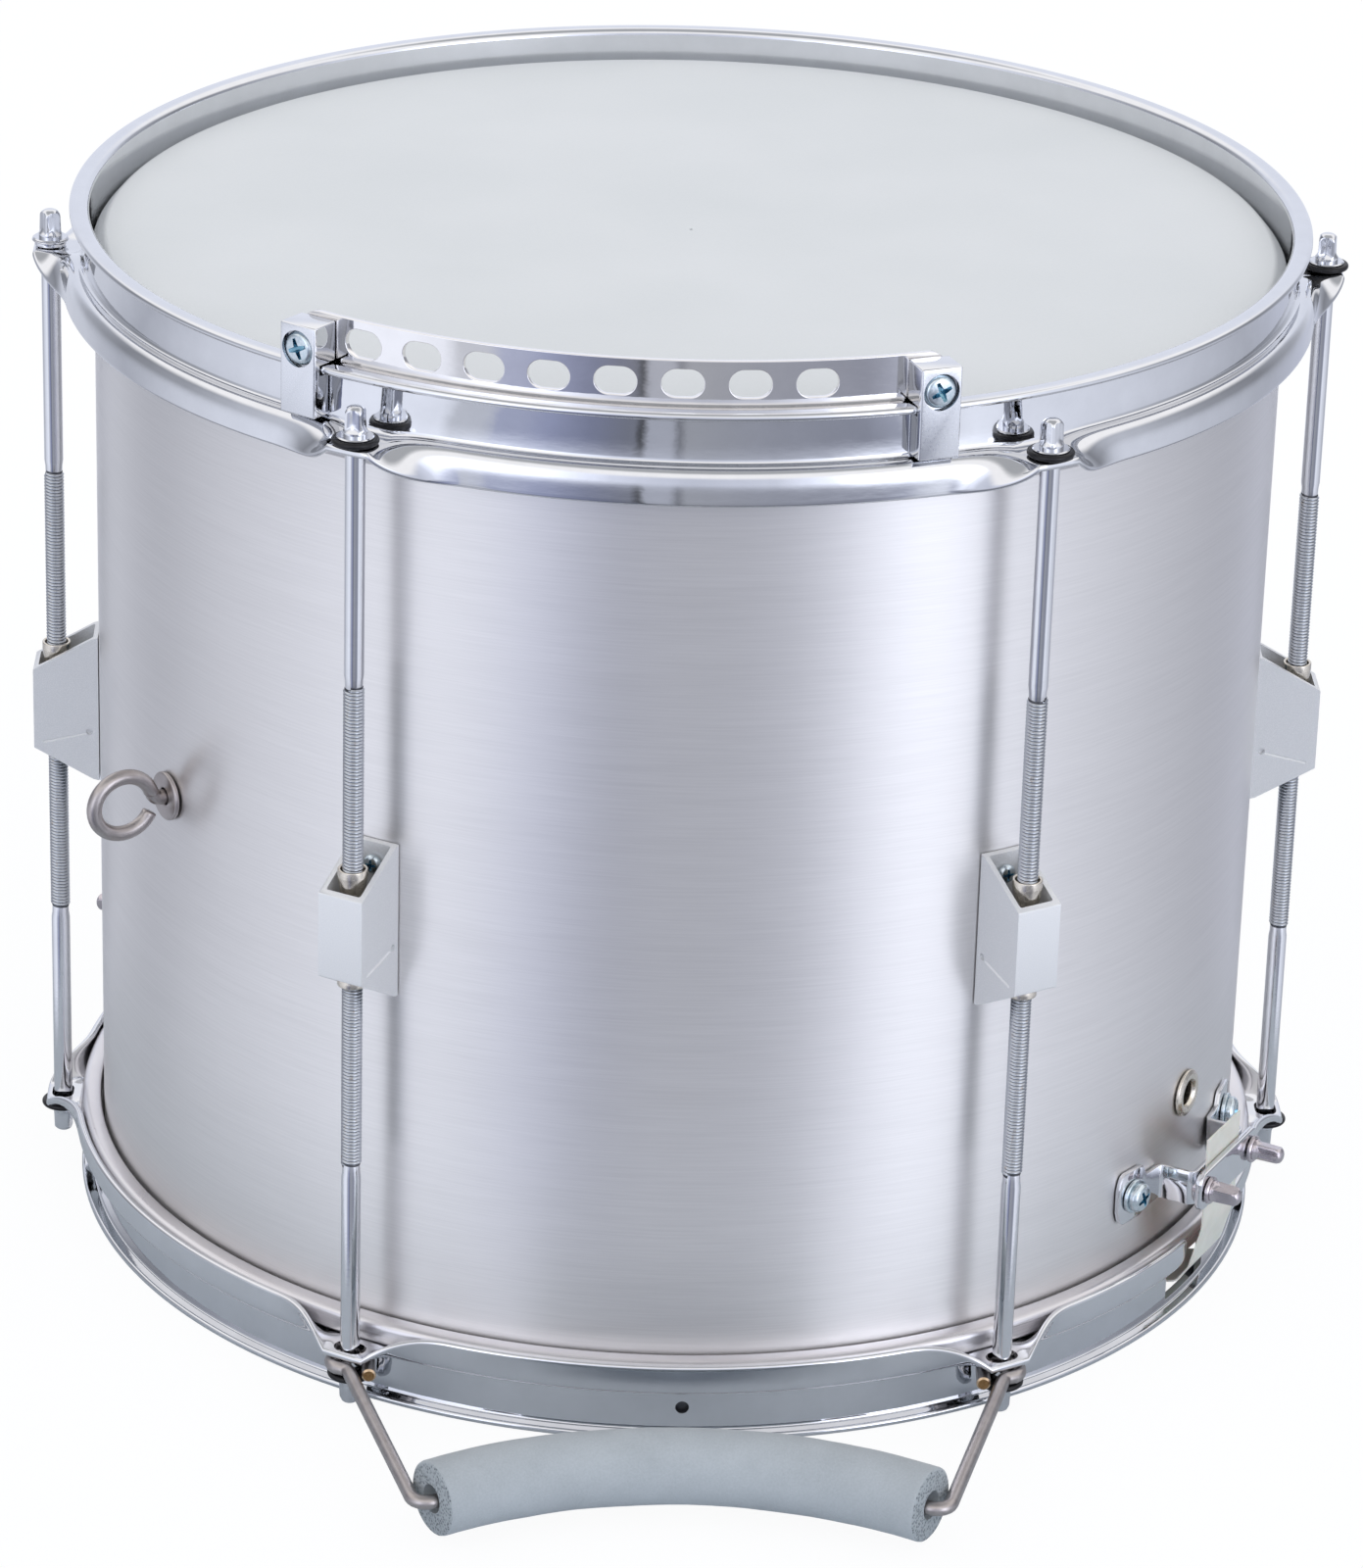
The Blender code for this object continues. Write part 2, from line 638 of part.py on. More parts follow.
def hoop_mesh():
    """Its sections lie closer together near an ear, to follow its outline."""
    offsets = sorted([*EAR_SHAPE, *PLAIN_COLUMNS])
    offsets = [-degrees for degrees in offsets[:0:-1]] + offsets
    sections = []
    for station in STATIONS:
        for degrees in offsets:
            sections.append(hoop_section(station + degrees, EAR_SHAPE.get(abs(degrees), 0.0)))
    holes = []
    for station in STATIONS:
        cutter = cylinder(ROD_RADIUS + EAR_HOLE_PLAY, EAR_FACE - 2 * HOOP_SHEET, EAR_FACE + HOOP_SHEET, 12)
        holes.append(moved(cutter, x=ROD_CIRCLE, turn=station + FRONT_FROM_X))
    return combined(loft(sections, "hoop", ring=True), [joined(holes)])


def gated(hoop):
    """The bottom hoop, cut away where the snare straps pass below the flesh hoop."""
    gates = []
    half_width = STRAP_WIDTH / 2 + STRAP_SIDE_PLAY
    span = (HOOP_WALL_RADIUS - HOOP_SHEET, SKIRT_RADIUS + HOOP_SHEET)
    for angle in (BUTT_ANGLE, STRAINER_ANGLE):
        gate = box(span, (-half_width, half_width), (GATE_FLOOR, HOOP_HEIGHT + HOOP_SHEET))
        gates.append(moved(gate, turn=angle + FRONT_FROM_X))
    return combined(hoop, [joined(gates)])


def rod_mesh(length):
    """A tension rod with its washer, standing on the washer's seat at height zero."""
    collar_low = WASHER_HEIGHT
    key_low = collar_low + COLLAR_HEIGHT
    key_top = key_low + KEY_HEIGHT
    sections = [
        circle(ROD_RADIUS - ROD_END_CHAMFER, -length, 8),
        circle(ROD_RADIUS, -length + ROD_END_CHAMFER, 8),
        circle(ROD_RADIUS, 0, 8),
        circle(WASHER_RADIUS, 0, 8),
        circle(WASHER_RADIUS, collar_low, 8),
        circle(COLLAR_RADIUS, collar_low, 8),
        circle(COLLAR_RADIUS, key_low, 8),
        square(KEY_HALF_WIDTH, key_low),
        square(KEY_HALF_WIDTH, key_top - KEY_DOME),
        square(KEY_HALF_WIDTH - KEY_DOME, key_top),
    ]
    return loft(sections, "rod")


def lug_mesh():
    """A tapered sheet box, open above and below, with a shelf that holds the bush."""
    back = LUG_BACK
    front = back + LUG_DEPTH
    outline = [
        (back, LUG_CENTRE - LUG_BACK_HEIGHT / 2),
        (front, LUG_CENTRE - LUG_FRONT_HEIGHT / 2),
        (front, LUG_CENTRE + LUG_FRONT_HEIGHT / 2),
        (back, LUG_CENTRE + LUG_BACK_HEIGHT / 2),
    ]
    body = prism(outline, -LUG_WIDTH / 2, LUG_WIDTH / 2, "Y")
    shelf = LUG_CENTRE - SHELF_DROP
    depth = (back + LUG_WALL, front - LUG_WALL)
    width = (LUG_WALL - LUG_WIDTH / 2, LUG_WIDTH / 2 - LUG_WALL)
    above = (shelf + SHELF_THICKNESS / 2, LUG_CENTRE + LUG_BACK_HEIGHT)
    below = (LUG_CENTRE - LUG_BACK_HEIGHT, shelf - SHELF_THICKNESS / 2)
    hole = cylinder(BUSH_WAIST + GAP, shelf - SHELF_THICKNESS, shelf + SHELF_THICKNESS, 12)
    cutters = [box(depth, width, above), box(depth, width, below), moved(hole, x=ROD_CIRCLE)]
    return combined(body, cutters)


def bush_mesh():
    low = LUG_CENTRE - BUSH_LENGTH / 2
    high = LUG_CENTRE + BUSH_LENGTH / 2
    bore = ROD_RADIUS + 2 * THREAD_PLAY
    profile = [
        (bore, low),
        (BUSH_RADIUS, low),
        (BUSH_WAIST, low + BUSH_TAPER),
        (BUSH_WAIST, high - BUSH_TAPER),
        (BUSH_RADIUS, high),
        (bore, high),
    ]
    sides = 12
    return turned(profile, sides, 180 / sides, "lug_bush")


def plate_mesh():
    """The slotted plate follows the rim's inside and has round corners."""
    first, last = PLATE_ENDS
    low = CLAMP_SCREW_HEIGHT - PLATE_BELOW_SCREW
    high = CLAMP_SCREW_HEIGHT + PLATE_ABOVE_SCREW
    corner = math.degrees(PLATE_CORNER / PLATE_RADIUS)
    shares = (0.0, 0.15, 0.5, 1.0)
    steps = 15
    columns = [(first + corner * share, share) for share in shares]
    for step in range(1, steps):
        columns.append((first + corner + (last - first - 2 * corner) * step / steps, 1.0))
    columns += [(last - corner * share, share) for share in reversed(shares)]
    sections = []
    for angle, share in columns:
        cut = PLATE_CORNER * (1 - math.sqrt(1 - (1 - share) ** 2))
        turn = math.radians(angle + FRONT_FROM_X)
        section = []
        for radius, height in (
            (PLATE_RADIUS, low + cut),
            (PLATE_OUTER, low + cut),
            (PLATE_OUTER, high - cut),
            (PLATE_RADIUS, high - cut),
        ):
            section.append((radius * math.cos(turn), radius * math.sin(turn), height))
        sections.append(section)
    cutters = [slot_cutter(SLOT_FIRST + SLOT_PITCH * index) for index in range(SLOT_COUNT)]
    for angle in BLOCK_ANGLES:
        hole = CLAMP_SHANK_RADIUS + CLAMP_SHANK_PLAY
        cutters.append(radial_hole(angle, 0, CLAMP_SCREW_HEIGHT, hole, 12))
    return combined(loft(sections, "plate"), [joined(cutters)])


def slot_cutter(angle):
    """A lying slot with round ends, through the plate at one angle."""
    straight = (SLOT_LENGTH - SLOT_WIDTH) / 2
    outline = []
    for middle, start in ((straight, -90), (-straight, 90)):
        outline += [tuple(point) for point in arc((middle, 0), SLOT_WIDTH / 2, start, start + 180, 4)]
    cutter = prism(outline, PLATE_RADIUS - LIP_REACH, PLATE_OUTER + LIP_REACH, "X")
    return moved(cutter, z=CLAMP_SCREW_HEIGHT + SLOT_ABOVE_SCREW, turn=angle + FRONT_FROM_X)


def block_mesh():
    """A clamp block hooked over the rim, outside the plate."""
    back = PLATE_OUTER + GAP
    wall = HOOP_WALL_RADIUS + HOOP_SHEET + GAP
    rim = HOOP_WALL_RADIUS + RIM_REACH + GAP
    low = MID_FLANGE_TOP + BLOCK_OVER_FLANGE
    recess_radius = CLAMP_HEAD_RADIUS + CLAMP_HEAD_PLAY
    top = CLAMP_SCREW_HEIGHT + recess_radius + BLOCK_TOP_WALL
    half_width = recess_radius + BLOCK_SIDE_WALL
    outline = [
        (back, top),
        (BLOCK_FRONT, top),
        (BLOCK_FRONT, low),
        (wall, low),
        (wall, TOTAL_HEIGHT - HOOP_SHEET - GAP),
        (rim, TOTAL_HEIGHT - HOOP_SHEET - GAP),
        (rim, TOTAL_HEIGHT + GAP),
        (back, TOTAL_HEIGHT + GAP),
    ]
    body = prism(outline, -half_width, half_width, "Y")
    recess = along_x(cylinder(recess_radius, BLOCK_FRONT - CLAMP_RECESS, BLOCK_FRONT + CLAMP_RECESS, 16))
    hole = along_x(cylinder(CLAMP_SHANK_RADIUS + CLAMP_SHANK_PLAY, back - GAP, BLOCK_FRONT, 12))
    cutters = [moved(recess, z=CLAMP_SCREW_HEIGHT), moved(hole, z=CLAMP_SCREW_HEIGHT)]
    return combined(body, cutters)


def screw_mesh(shank, shank_length, washer, washer_height, head, head_height, name):
    """A round headed screw along X, with the seat of its washer or head at zero."""
    sides = 10
    sections = [circle(shank, -shank_length, sides), circle(shank, 0, sides)]
    if washer_height:
        sections.append(circle(washer, 0, sides))
        sections.append(circle(washer, washer_height, sides))
    sections.append(circle(head, washer_height, sides))
    sections.append(circle(head, washer_height + SCREW_EDGE * head_height, sides))
    sections.append(circle(SCREW_CROWN * head, washer_height + head_height, sides))
    return along_x(loft(sections, name))


def key_screw_mesh():
    """A square headed screw along X, with the seat of its collar at zero."""
    key_low = KEY_SCREW_COLLAR
    key_top = key_low + KEY_SCREW_HEAD
    sections = [
        circle(KEY_SCREW_RADIUS, -KEY_SCREW_TAIL, 8),
        circle(KEY_SCREW_RADIUS, 0, 8),
        circle(KEY_SCREW_COLLAR_RADIUS, 0, 8),
        circle(KEY_SCREW_COLLAR_RADIUS, key_low, 8),
        square(KEY_HALF_WIDTH, key_low),
        square(KEY_HALF_WIDTH, key_top - KEY_DOME),
        square(KEY_HALF_WIDTH - KEY_DOME, key_top),
    ]
    return along_x(loft(sections, "key_screw"))


def eye_curve():
    """The wire runs out through the shell, turns up and closes almost to a ring."""
    left = SHELL_RADIUS + EYE_STAND_OFF
    inside = SHELL_RADIUS - EYE_SHANK_INSIDE
    neck = fillet((inside, 0), (left, 0), (left, EYE_NECK * 2), EYE_NECK, 3)
    route = [Vector((inside, 0)), *neck]
    for point in arc((0, 0), EYE_RING_RADIUS, 180, EYE_OPEN_DEGREES - 180, 18)[1:]:
        route.append(Vector((left + EYE_STRETCH * (EYE_RING_RADIUS + point.x), point.y)))
    return wire_curve("eye_bolt", [(x, 0, z) for x, z in route], EYE_WIRE_RADIUS)


def eye_washer_mesh():
    bore = EYE_WIRE_RADIUS + EYE_HOLE_PLAY
    profile = [
        (bore, 0),
        (EYE_WASHER_RADIUS, 0),
        (EYE_WASHER_RADIUS, EYE_WASHER_HEIGHT),
        (bore, EYE_WASHER_HEIGHT),
    ]
    return along_x(turned(profile, 16, name="eye_washer"))


def vent_mesh():
    """The grommet's barrel passes through the shell, with a flange on each side."""
    inside = (SHELL_RADIUS - SHELL_WALL) * math.cos(math.pi / RING_SEGMENTS) - GAP
    outside = SHELL_RADIUS + GAP
    profile = [
        (VENT_BORE_RADIUS, inside - VENT_INNER_FLANGE),
        (VENT_INNER_RADIUS, inside - VENT_INNER_FLANGE),
        (VENT_INNER_RADIUS, inside),
        (VENT_BARREL_RADIUS, inside),
        (VENT_BARREL_RADIUS, outside),
        (VENT_FLANGE_RADIUS, outside),
        (VENT_FLANGE_RADIUS, outside + VENT_FLANGE / 2),
        (VENT_FLANGE_RADIUS - VENT_FLANGE, outside + VENT_FLANGE),
        (VENT_BORE_RADIUS, outside + VENT_FLANGE),
    ]
    return along_x(turned(profile, 14, name="vent_grommet"))


def bridge_mesh():
    """A strip bent from one foot over the raised front to the other foot."""
    back = SHELL_RADIUS + GAP + BRIDGE_SHEET / 2
    front = BRIDGE_FRONT - BRIDGE_SHEET / 2
    side = BRIDGE_HALF_WIDTH - BRIDGE_SHEET / 2
    foot_in = FOOT_CENTRE - FOOT_WIDTH / 2
    foot_out = FOOT_CENTRE + FOOT_WIDTH / 2
    low_foot = FOOT_SCREW_HEIGHT - FOOT_HEIGHT / 2
    high_foot = FOOT_SCREW_HEIGHT + FOOT_HEIGHT / 2
    low = CLAMP_HEIGHT - BRIDGE_HEIGHT / 2
    high = CLAMP_HEIGHT + BRIDGE_HEIGHT / 2
    on_shell = [
        (foot_out, low_foot + FOOT_CHAMFER, high_foot - FOOT_CHAMFER),
        (foot_out - FOOT_CHAMFER, low_foot, high_foot),
        (foot_in + FOOT_CHAMFER, low_foot, high_foot),
        (foot_in, low, high),
    ]
    half = []
    for length, bottom, top in on_shell:
        angle = length / SHELL_RADIUS
        half.append(((back * math.cos(angle), back * math.sin(angle)), bottom, top))
    half.append(((math.sqrt(back ** 2 - side ** 2), side), low, high))
    half.append(((front, side), low, high))
    mirrored = [((x, -y), bottom, top) for (x, y), bottom, top in half[::-1]]
    columns = half + mirrored
    path = [point for point, _, _ in columns]
    one_side = offset(path, BRIDGE_SHEET / 2)
    other_side = offset(path, -BRIDGE_SHEET / 2)
    sections = []
    for (_, bottom, top), near, far in zip(columns, one_side, other_side):
        sections.append([(*near, bottom), (*near, top), (*far, top), (*far, bottom)])
    holes = []
    for sign in (-1, 1):
        angle = sign * arc_degrees(FOOT_CENTRE)
        screw_hole = FOOT_SCREW_RADIUS + FOOT_SCREW_PLAY
        holes.append(radial_hole(angle - FRONT_FROM_X, 0, FOOT_SCREW_HEIGHT, screw_hole, 8))
        holes.append(key_screw_thread(sign))
    return combined(loft(sections, "bridge"), [joined(holes)])


def key_screw_thread(sign):
    """The cutter for one key screw's threaded hole, in the bridge or in the slide."""
    thread = cylinder(KEY_SCREW_RADIUS + THREAD_PLAY, SHELL_RADIUS + 2 * BRIDGE_SHEET, BAR_FRONT, 12)
    return moved(along_x(thread), y=sign * KEY_SCREW_SPREAD, z=CLAMP_HEIGHT)


def bar_mesh():
    """The clamp bar has round corners and a hole for each key screw."""
    outline = rounded_box(BAR_HALF_LENGTH, BAR_HEIGHT / 2, BAR_CORNER)
    body = prism(outline, BAR_BACK, BAR_FRONT, "X")
    holes = []
    for sign in (-1, 1):
        hole = cylinder(KEY_SCREW_RADIUS + KEY_SCREW_HOLE_PLAY, BAR_BACK - GAP, BAR_FRONT + GAP, 8)
        holes.append(moved(along_x(hole), y=sign * KEY_SCREW_SPREAD))
    return combined(body, [joined(holes)])


def strap_mesh():
    """The strap hangs from its clamp, passes the gate below the flesh hoop and turns in."""
    clamp_top = CLAMP_HEIGHT + BAR_HEIGHT / 2
    flesh_low = TOTAL_HEIGHT - FLESH_TOP
    path = [
        (STRAP_RADIUS, clamp_top + STRAP_TAIL),
        (STRAP_RADIUS, STRAP_BEND_HEIGHT),
        (SKIRT_RADIUS - STRAP_THICKNESS, flesh_low - STRAP_UNDER_HOOP),
        (SKIRT_RADIUS - 2 * HOOP_SHEET, (flesh_low + SNARE_FACE) / 2 - STRAP_DIP),
        (SHELL_RADIUS - EDGE_INSET, STRAP_INNER_HEIGHT),
        (WIRE_PLATE_OUTER - STRAP_ON_PLATE, STRAP_INNER_HEIGHT),
    ]
    return prism(thickened(path, STRAP_THICKNESS), -STRAP_WIDTH / 2, STRAP_WIDTH / 2, "Y")


def wires_mesh():
    """Snare wires side by side between two end plates, just below the snare head."""
    plate_top = STRAP_INNER_HEIGHT - STRAP_THICKNESS / 2 - GAP
    wire_top = SNARE_FACE - GAP
    inner = WIRE_PLATE_INNER - WIRE_SLOPE
    columns = [-WIRE_PLATE_OUTER, -WIRE_PLATE_INNER, -inner, inner, WIRE_PLATE_INNER, WIRE_PLATE_OUTER]
    rows = []
    for index in range(WIRE_COUNT):
        middle = (index - (WIRE_COUNT - 1) / 2) * WIRE_PITCH
        rows += [middle - WIRE_WIDTH / 2, middle + WIRE_WIDTH / 2]
    work = bmesh.new()
    grid = {}
    for i, x in enumerate(columns):
        top = plate_top if abs(x) >= WIRE_PLATE_INNER else wire_top
        for j, y in enumerate(rows):
            grid[i, j] = work.verts.new((x, y, top))
    for i in range(len(columns) - 1):
        on_plate = i in (0, len(columns) - 2)
        for j in range(len(rows) - 1):
            if on_plate or j % 2 == 0:
                work.faces.new((grid[i, j], grid[i + 1, j], grid[i + 1, j + 1], grid[i, j + 1]))
    lower = bmesh.ops.extrude_face_region(work, geom=list(work.faces), use_keep_orig=True)
    moved_down = [item for item in lower["geom"] if isinstance(item, bmesh.types.BMVert)]
    bmesh.ops.translate(work, verts=moved_down, vec=(0, 0, -WIRE_WIDTH))
    return finished(work, "snare_wires")


def bracket_mesh():
    """The strainer's base lies on the shell and carries two rails and the knob's bridge."""
    inner = SHELL_RADIUS + GAP
    outer = inner + BRACKET_BASE
    steps = 6
    sections = []
    for step in range(steps + 1):
        angle = math.radians(BRACKET_ARC * (2 * step / steps - 1))
        section = []
        for radius, height in (
            (inner, BRACKET_LOW),
            (outer, BRACKET_LOW),
            (outer, BRACKET_HIGH),
            (inner, BRACKET_HIGH),
        ):
            section.append((radius * math.cos(angle), radius * math.sin(angle), height))
        sections.append(section)
    rail_outside = RAIL_INSIDE + RAIL_THICKNESS
    root = inner * math.cos(math.radians(BRACKET_ARC)) + BRACKET_BASE
    heights = (BRACKET_LOW + GAP, BRACKET_HIGH - GAP)
    pieces = []
    for sign in (-1, 1):
        span = sorted((sign * RAIL_INSIDE, sign * rail_outside))
        pieces.append(box((root + BRACKET_BASE / 2, RAIL_FRONT), span, heights))
    bridge_heights = (BRACKET_HIGH - BRACKET_BRIDGE, BRACKET_HIGH - 2 * GAP)
    bridge_depth = (root + BRACKET_BASE / 2, RAIL_FRONT - GAP)
    pieces.append(box(bridge_depth, (-rail_outside + GAP, rail_outside - GAP), bridge_heights))
    body = combined(loft(sections, "bracket"), pieces, "UNION")
    thread = cylinder(KNOB_SCREW_RADIUS + THREAD_PLAY, SLIDE_TOP, BRACKET_HIGH + KNOB_HEIGHT, 12)
    holes = [moved(thread, x=KNOB_CIRCLE), pivot_cutter()]
    for sign in (-1, 1):
        angle = sign * arc_degrees(BASE_SCREW_ARC) - FRONT_FROM_X
        height = (BRACKET_LOW + BRACKET_HIGH) / 2
        holes.append(radial_hole(angle, 0, height, FOOT_SCREW_RADIUS + FOOT_SCREW_PLAY, 8))
    return combined(body, [joined(holes)])


def pivot_cutter():
    """The hole through both rails for the lever's pin."""
    reach = RAIL_INSIDE + 2 * RAIL_THICKNESS
    cutter = cylinder(LEVER_PIN_RADIUS + THREAD_PLAY, -reach, reach, 12)
    cutter.transform(Matrix.Rotation(math.pi / 2, 4, "X"))
    return moved(cutter, x=LEVER_PIVOT_RADIUS, z=LEVER_PIVOT_HEIGHT)


def slide_mesh():
    """The slide runs between the rails, and its toe holds the strap's clamp."""
    half = RAIL_INSIDE - SLIDE_PLAY
    back = SHELL_RADIUS + GAP + BRACKET_BASE + SLIDE_BACK_PLAY
    toe_top = BRACKET_LOW - SLIDE_TOE_PLAY
    toe_low = CLAMP_HEIGHT - BAR_HEIGHT / 2
    body = box((back, BRIDGE_FRONT), (-half, half), (toe_top - SLIDE_TOE_THICKNESS, SLIDE_TOP))
    toe_depth = (BRIDGE_FRONT - SLIDE_TOE_THICKNESS, BRIDGE_FRONT + GAP / 2)
    toe = box(toe_depth, (-SLIDE_TOE_HALF_WIDTH, SLIDE_TOE_HALF_WIDTH), (toe_low, toe_top))
    slide = combined(body, [toe], "UNION")
    return combined(slide, [joined([key_screw_thread(-1), key_screw_thread(1)])])


def lever_mesh():
    """The lever about its pivot: an arm beside each rail, a stub pin on each, and a thumb plate.

    The plate starts above the rails' front edge, which it passes as the lever is thrown. Each arm's
    foot is round about the pivot, so it turns clear of the base.
    """
    inside = RAIL_INSIDE + RAIL_THICKNESS + GAP
    outside = inside + LEVER_ARM
    plate_low = LEVER_PIVOT_INSET + LEVER_PLAY
    plate_back = plate_low + LEVER_PLAY
    front = plate_back + LEVER_PLATE
    half = LEVER_ARM_HEIGHT / 2
    arm = []
    for degrees in range(180, 316, 27):
        angle = math.radians(degrees)
        arm.append((half * math.cos(angle), half * math.sin(angle)))
    arm += [
        (front, plate_low),
        (front, LEVER_TOP - GAP),
        (plate_back - LEVER_PLATE, LEVER_TOP - GAP),
        (half, half),
        (-half, half),
    ]
    pieces = []
    for sign in (-1, 1):
        pieces.append(prism(arm, *sorted((sign * inside, sign * outside)), "Y"))
        pin_span = sorted((-sign * (RAIL_INSIDE + GAP), -sign * (inside + LEVER_ARM / 2)))
        pin = cylinder(LEVER_PIN_RADIUS, *pin_span, 12)
        pin.transform(Matrix.Rotation(math.pi / 2, 4, "X"))
        pieces.append(pin)
    plate = box((plate_back, front + GAP), (-outside - GAP, outside + GAP), (plate_low + GAP, LEVER_TOP))
    return combined(plate, pieces, "UNION")


def knob_mesh():
    """The tension knob and its screw, with the knob's seat at zero."""
    sides = 16
    screw_end = SLIDE_TOP + GAP - BRACKET_HIGH - GAP
    sections = [
        circle(KNOB_SCREW_RADIUS, screw_end, sides),
        circle(KNOB_SCREW_RADIUS, 0, sides),
        circle(KNOB_RADIUS, 0, sides),
        circle(KNOB_RADIUS, KNOB_HEIGHT - KNOB_CHAMFER, sides),
        circle(KNOB_RADIUS - KNOB_CHAMFER, KNOB_HEIGHT, sides),
    ]
    return loft(sections, "strainer_knob")


def foam_end():
    """Angle, from the curve's centre, between the middle of the foam roll and its end."""
    return math.degrees(math.asin(FOAM_HALF_SPAN / FOAM_CURVE))


def foam_centre():
    return Vector((0, -FOAM_MIDDLE - FOAM_CURVE))


def rest_curve():
    """The wire hooks round one front rod, runs through the foam roll and hooks round the other."""
    station = math.radians(REST_STATION + FRONT_FROM_X)
    rod = ROD_CIRCLE * Vector((math.cos(station), math.sin(station)))
    outwards = rod.normalized()
    inwards = Vector((-abs(outwards.y), -abs(outwards.x)))
    tail = Vector((REST_TAIL_OUT, REST_TAIL_ACROSS))
    lean = math.degrees(math.atan2(tail.y, tail.x))
    touch = lean + math.degrees(math.acos(REST_EYE_RADIUS / tail.length))
    hook = [tail, *arc((0, 0), REST_EYE_RADIUS, touch, REST_EYE_END, 9)]
    elbow = arc((0, 0), REST_EYE_RADIUS, REST_LEAVES_EYE, REST_LEAVES_EYE, 1)[0]
    hook = [rod + outwards * point.x + inwards * point.y for point in hook]
    elbow = rod + outwards * elbow.x + inwards * elbow.y
    angle = foam_end()
    wire_radius = FOAM_CURVE - FOAM_BORE_PLAY + FOAM_WIRE_GAP
    in_foam = arc(foam_centre(), wire_radius, 90 - angle, 90, FOAM_STEPS // 2)
    leaving = Vector((math.cos(math.radians(angle)), -math.sin(math.radians(angle))))
    bend = in_foam[0] + leaving * REST_BEND_REACH
    half = [
        *hook,
        *fillet(hook[-1], elbow, bend, REST_ELBOW, 3),
        *fillet(elbow, bend, in_foam[0], REST_BEND, 4),
        *in_foam,
    ]
    other = [Vector((-point.x, point.y)) for point in half[-2::-1]]
    return wire_curve("leg_rest_wire", [(x, y, REST_HEIGHT) for x, y in half + other], REST_WIRE_RADIUS)


def foam_mesh():
    """A curved roll with a bore for the wire. Its ends are cut square."""
    angle = foam_end()
    outer, bore = [], []
    for step in range(FOAM_STEPS + 1):
        turn = math.radians(angle * (1 - 2 * step / FOAM_STEPS))
        away = Vector((math.sin(turn), math.cos(turn), 0))
        centre = foam_centre().to_3d() + away * FOAM_CURVE
        centre.z = REST_HEIGHT
        for loops, radius in ((outer, FOAM_RADIUS), (bore, FOAM_BORE_RADIUS)):
            around = circle(radius, 0, FOAM_SIDES)
            loops.append([centre + away * across + Vector((0, 0, up)) for across, up, _ in around])
    return loft(outer + bore[::-1], "leg_rest_foam", ring=True)


def add_shell_and_heads(drum, finishes):
    add("shell", shell_mesh(), finishes["aluminium"], drum)
    head = head_mesh()
    flesh_hoop = flesh_hoop_mesh()
    hoop = hoop_mesh()
    add("batter_head", head, finishes["film"], drum)
    add("batter_flesh_hoop", flesh_hoop, finishes["satin"], drum)
    add("batter_hoop", hoop, finishes["chrome"], drum)
    add("snare_head", upside_down(head), finishes["clear_film"], drum)
    add("snare_flesh_hoop", upside_down(flesh_hoop), finishes["satin"], drum)
    add("snare_hoop", gated(upside_down(hoop)), finishes["chrome"], drum)


def add_tension(drum, finishes):
    """Lugs, bushes and rods. The two front bottom rods stand lower, under the leg rest's wire."""
    rod = rod_mesh(BATTER_ROD_LENGTH)
    lower_rod = rod_mesh(SNARE_ROD_LENGTH)
    lower_rod.transform(Matrix.Rotation(math.pi, 4, "X"))
    lug = lug_mesh()
    bush = bush_mesh()
    for number, angle in enumerate(STATIONS, 1):
        station = at_angle(f"station_{number}", angle, drum)
        add(f"lug_{number}", lug, finishes["silver_paint"], station)
        add(f"lug_bush_{number}", bush, finishes["nickel"], station, (ROD_CIRCLE, 0, 0))
        add(f"batter_rod_{number}", rod, finishes["chrome"], station, (ROD_CIRCLE, 0, ROD_SEAT))
        under_wire = GAP + 2 * REST_WIRE_RADIUS if abs(angle) == REST_STATION else 0
        seat = TOTAL_HEIGHT - ROD_SEAT - under_wire
        add(f"snare_rod_{number}", lower_rod, finishes["chrome"], station, (ROD_CIRCLE, 0, seat))


def add_plate(drum, finishes):
    add("accessory_plate", plate_mesh(), finishes["chrome"], drum)
    block = block_mesh()
    seat = (BLOCK_FRONT - CLAMP_RECESS + GAP, 0, CLAMP_SCREW_HEIGHT)
    shank = seat[0] - PLATE_RADIUS + CLAMP_SHANK_PAST_PLATE
    screw = screw_mesh(CLAMP_SHANK_RADIUS, shank, 0, 0, CLAMP_HEAD_RADIUS, CLAMP_HEAD_HEIGHT, "clamp_screw")
    for side, angle in zip(("left", "right"), BLOCK_ANGLES):
        station = at_angle(f"clamp_{side}", angle, drum)
        add(f"clamp_block_{side}", block, finishes["chrome"], station)
        add(f"clamp_screw_{side}", screw, finishes["zinc"], station, seat)


def add_eye_and_vent(drum, finishes):
    eye = at_angle("eye", EYE_ANGLE, drum)
    add("eye_bolt", eye_curve(), finishes["steel"], eye, (0, 0, EYE_HEIGHT))
    add("eye_washer", eye_washer_mesh(), finishes["steel"], eye, (SHELL_RADIUS + GAP, 0, EYE_HEIGHT))
    vent = at_angle("vent", VENT_ANGLE, drum)
    add("vent_grommet", vent_mesh(), finishes["nickel"], vent, (0, 0, VENT_HEIGHT))


def add_clamp(prefix, station, finishes, bar, key_screw, strap):
    """The strap and its clamp are alike on the butt and on the strainer."""
    add(f"{prefix}_clamp_bar", bar, finishes["nickel"], station, (0, 0, CLAMP_HEIGHT))
    for side, sign in (("left", -1), ("right", 1)):
        place = (BAR_FRONT + GAP, sign * KEY_SCREW_SPREAD, CLAMP_HEIGHT)
        add(f"{prefix}_key_screw_{side}", key_screw, finishes["nickel"], station, place)
    add(f"{prefix}_strap", strap, finishes["strap"], station)


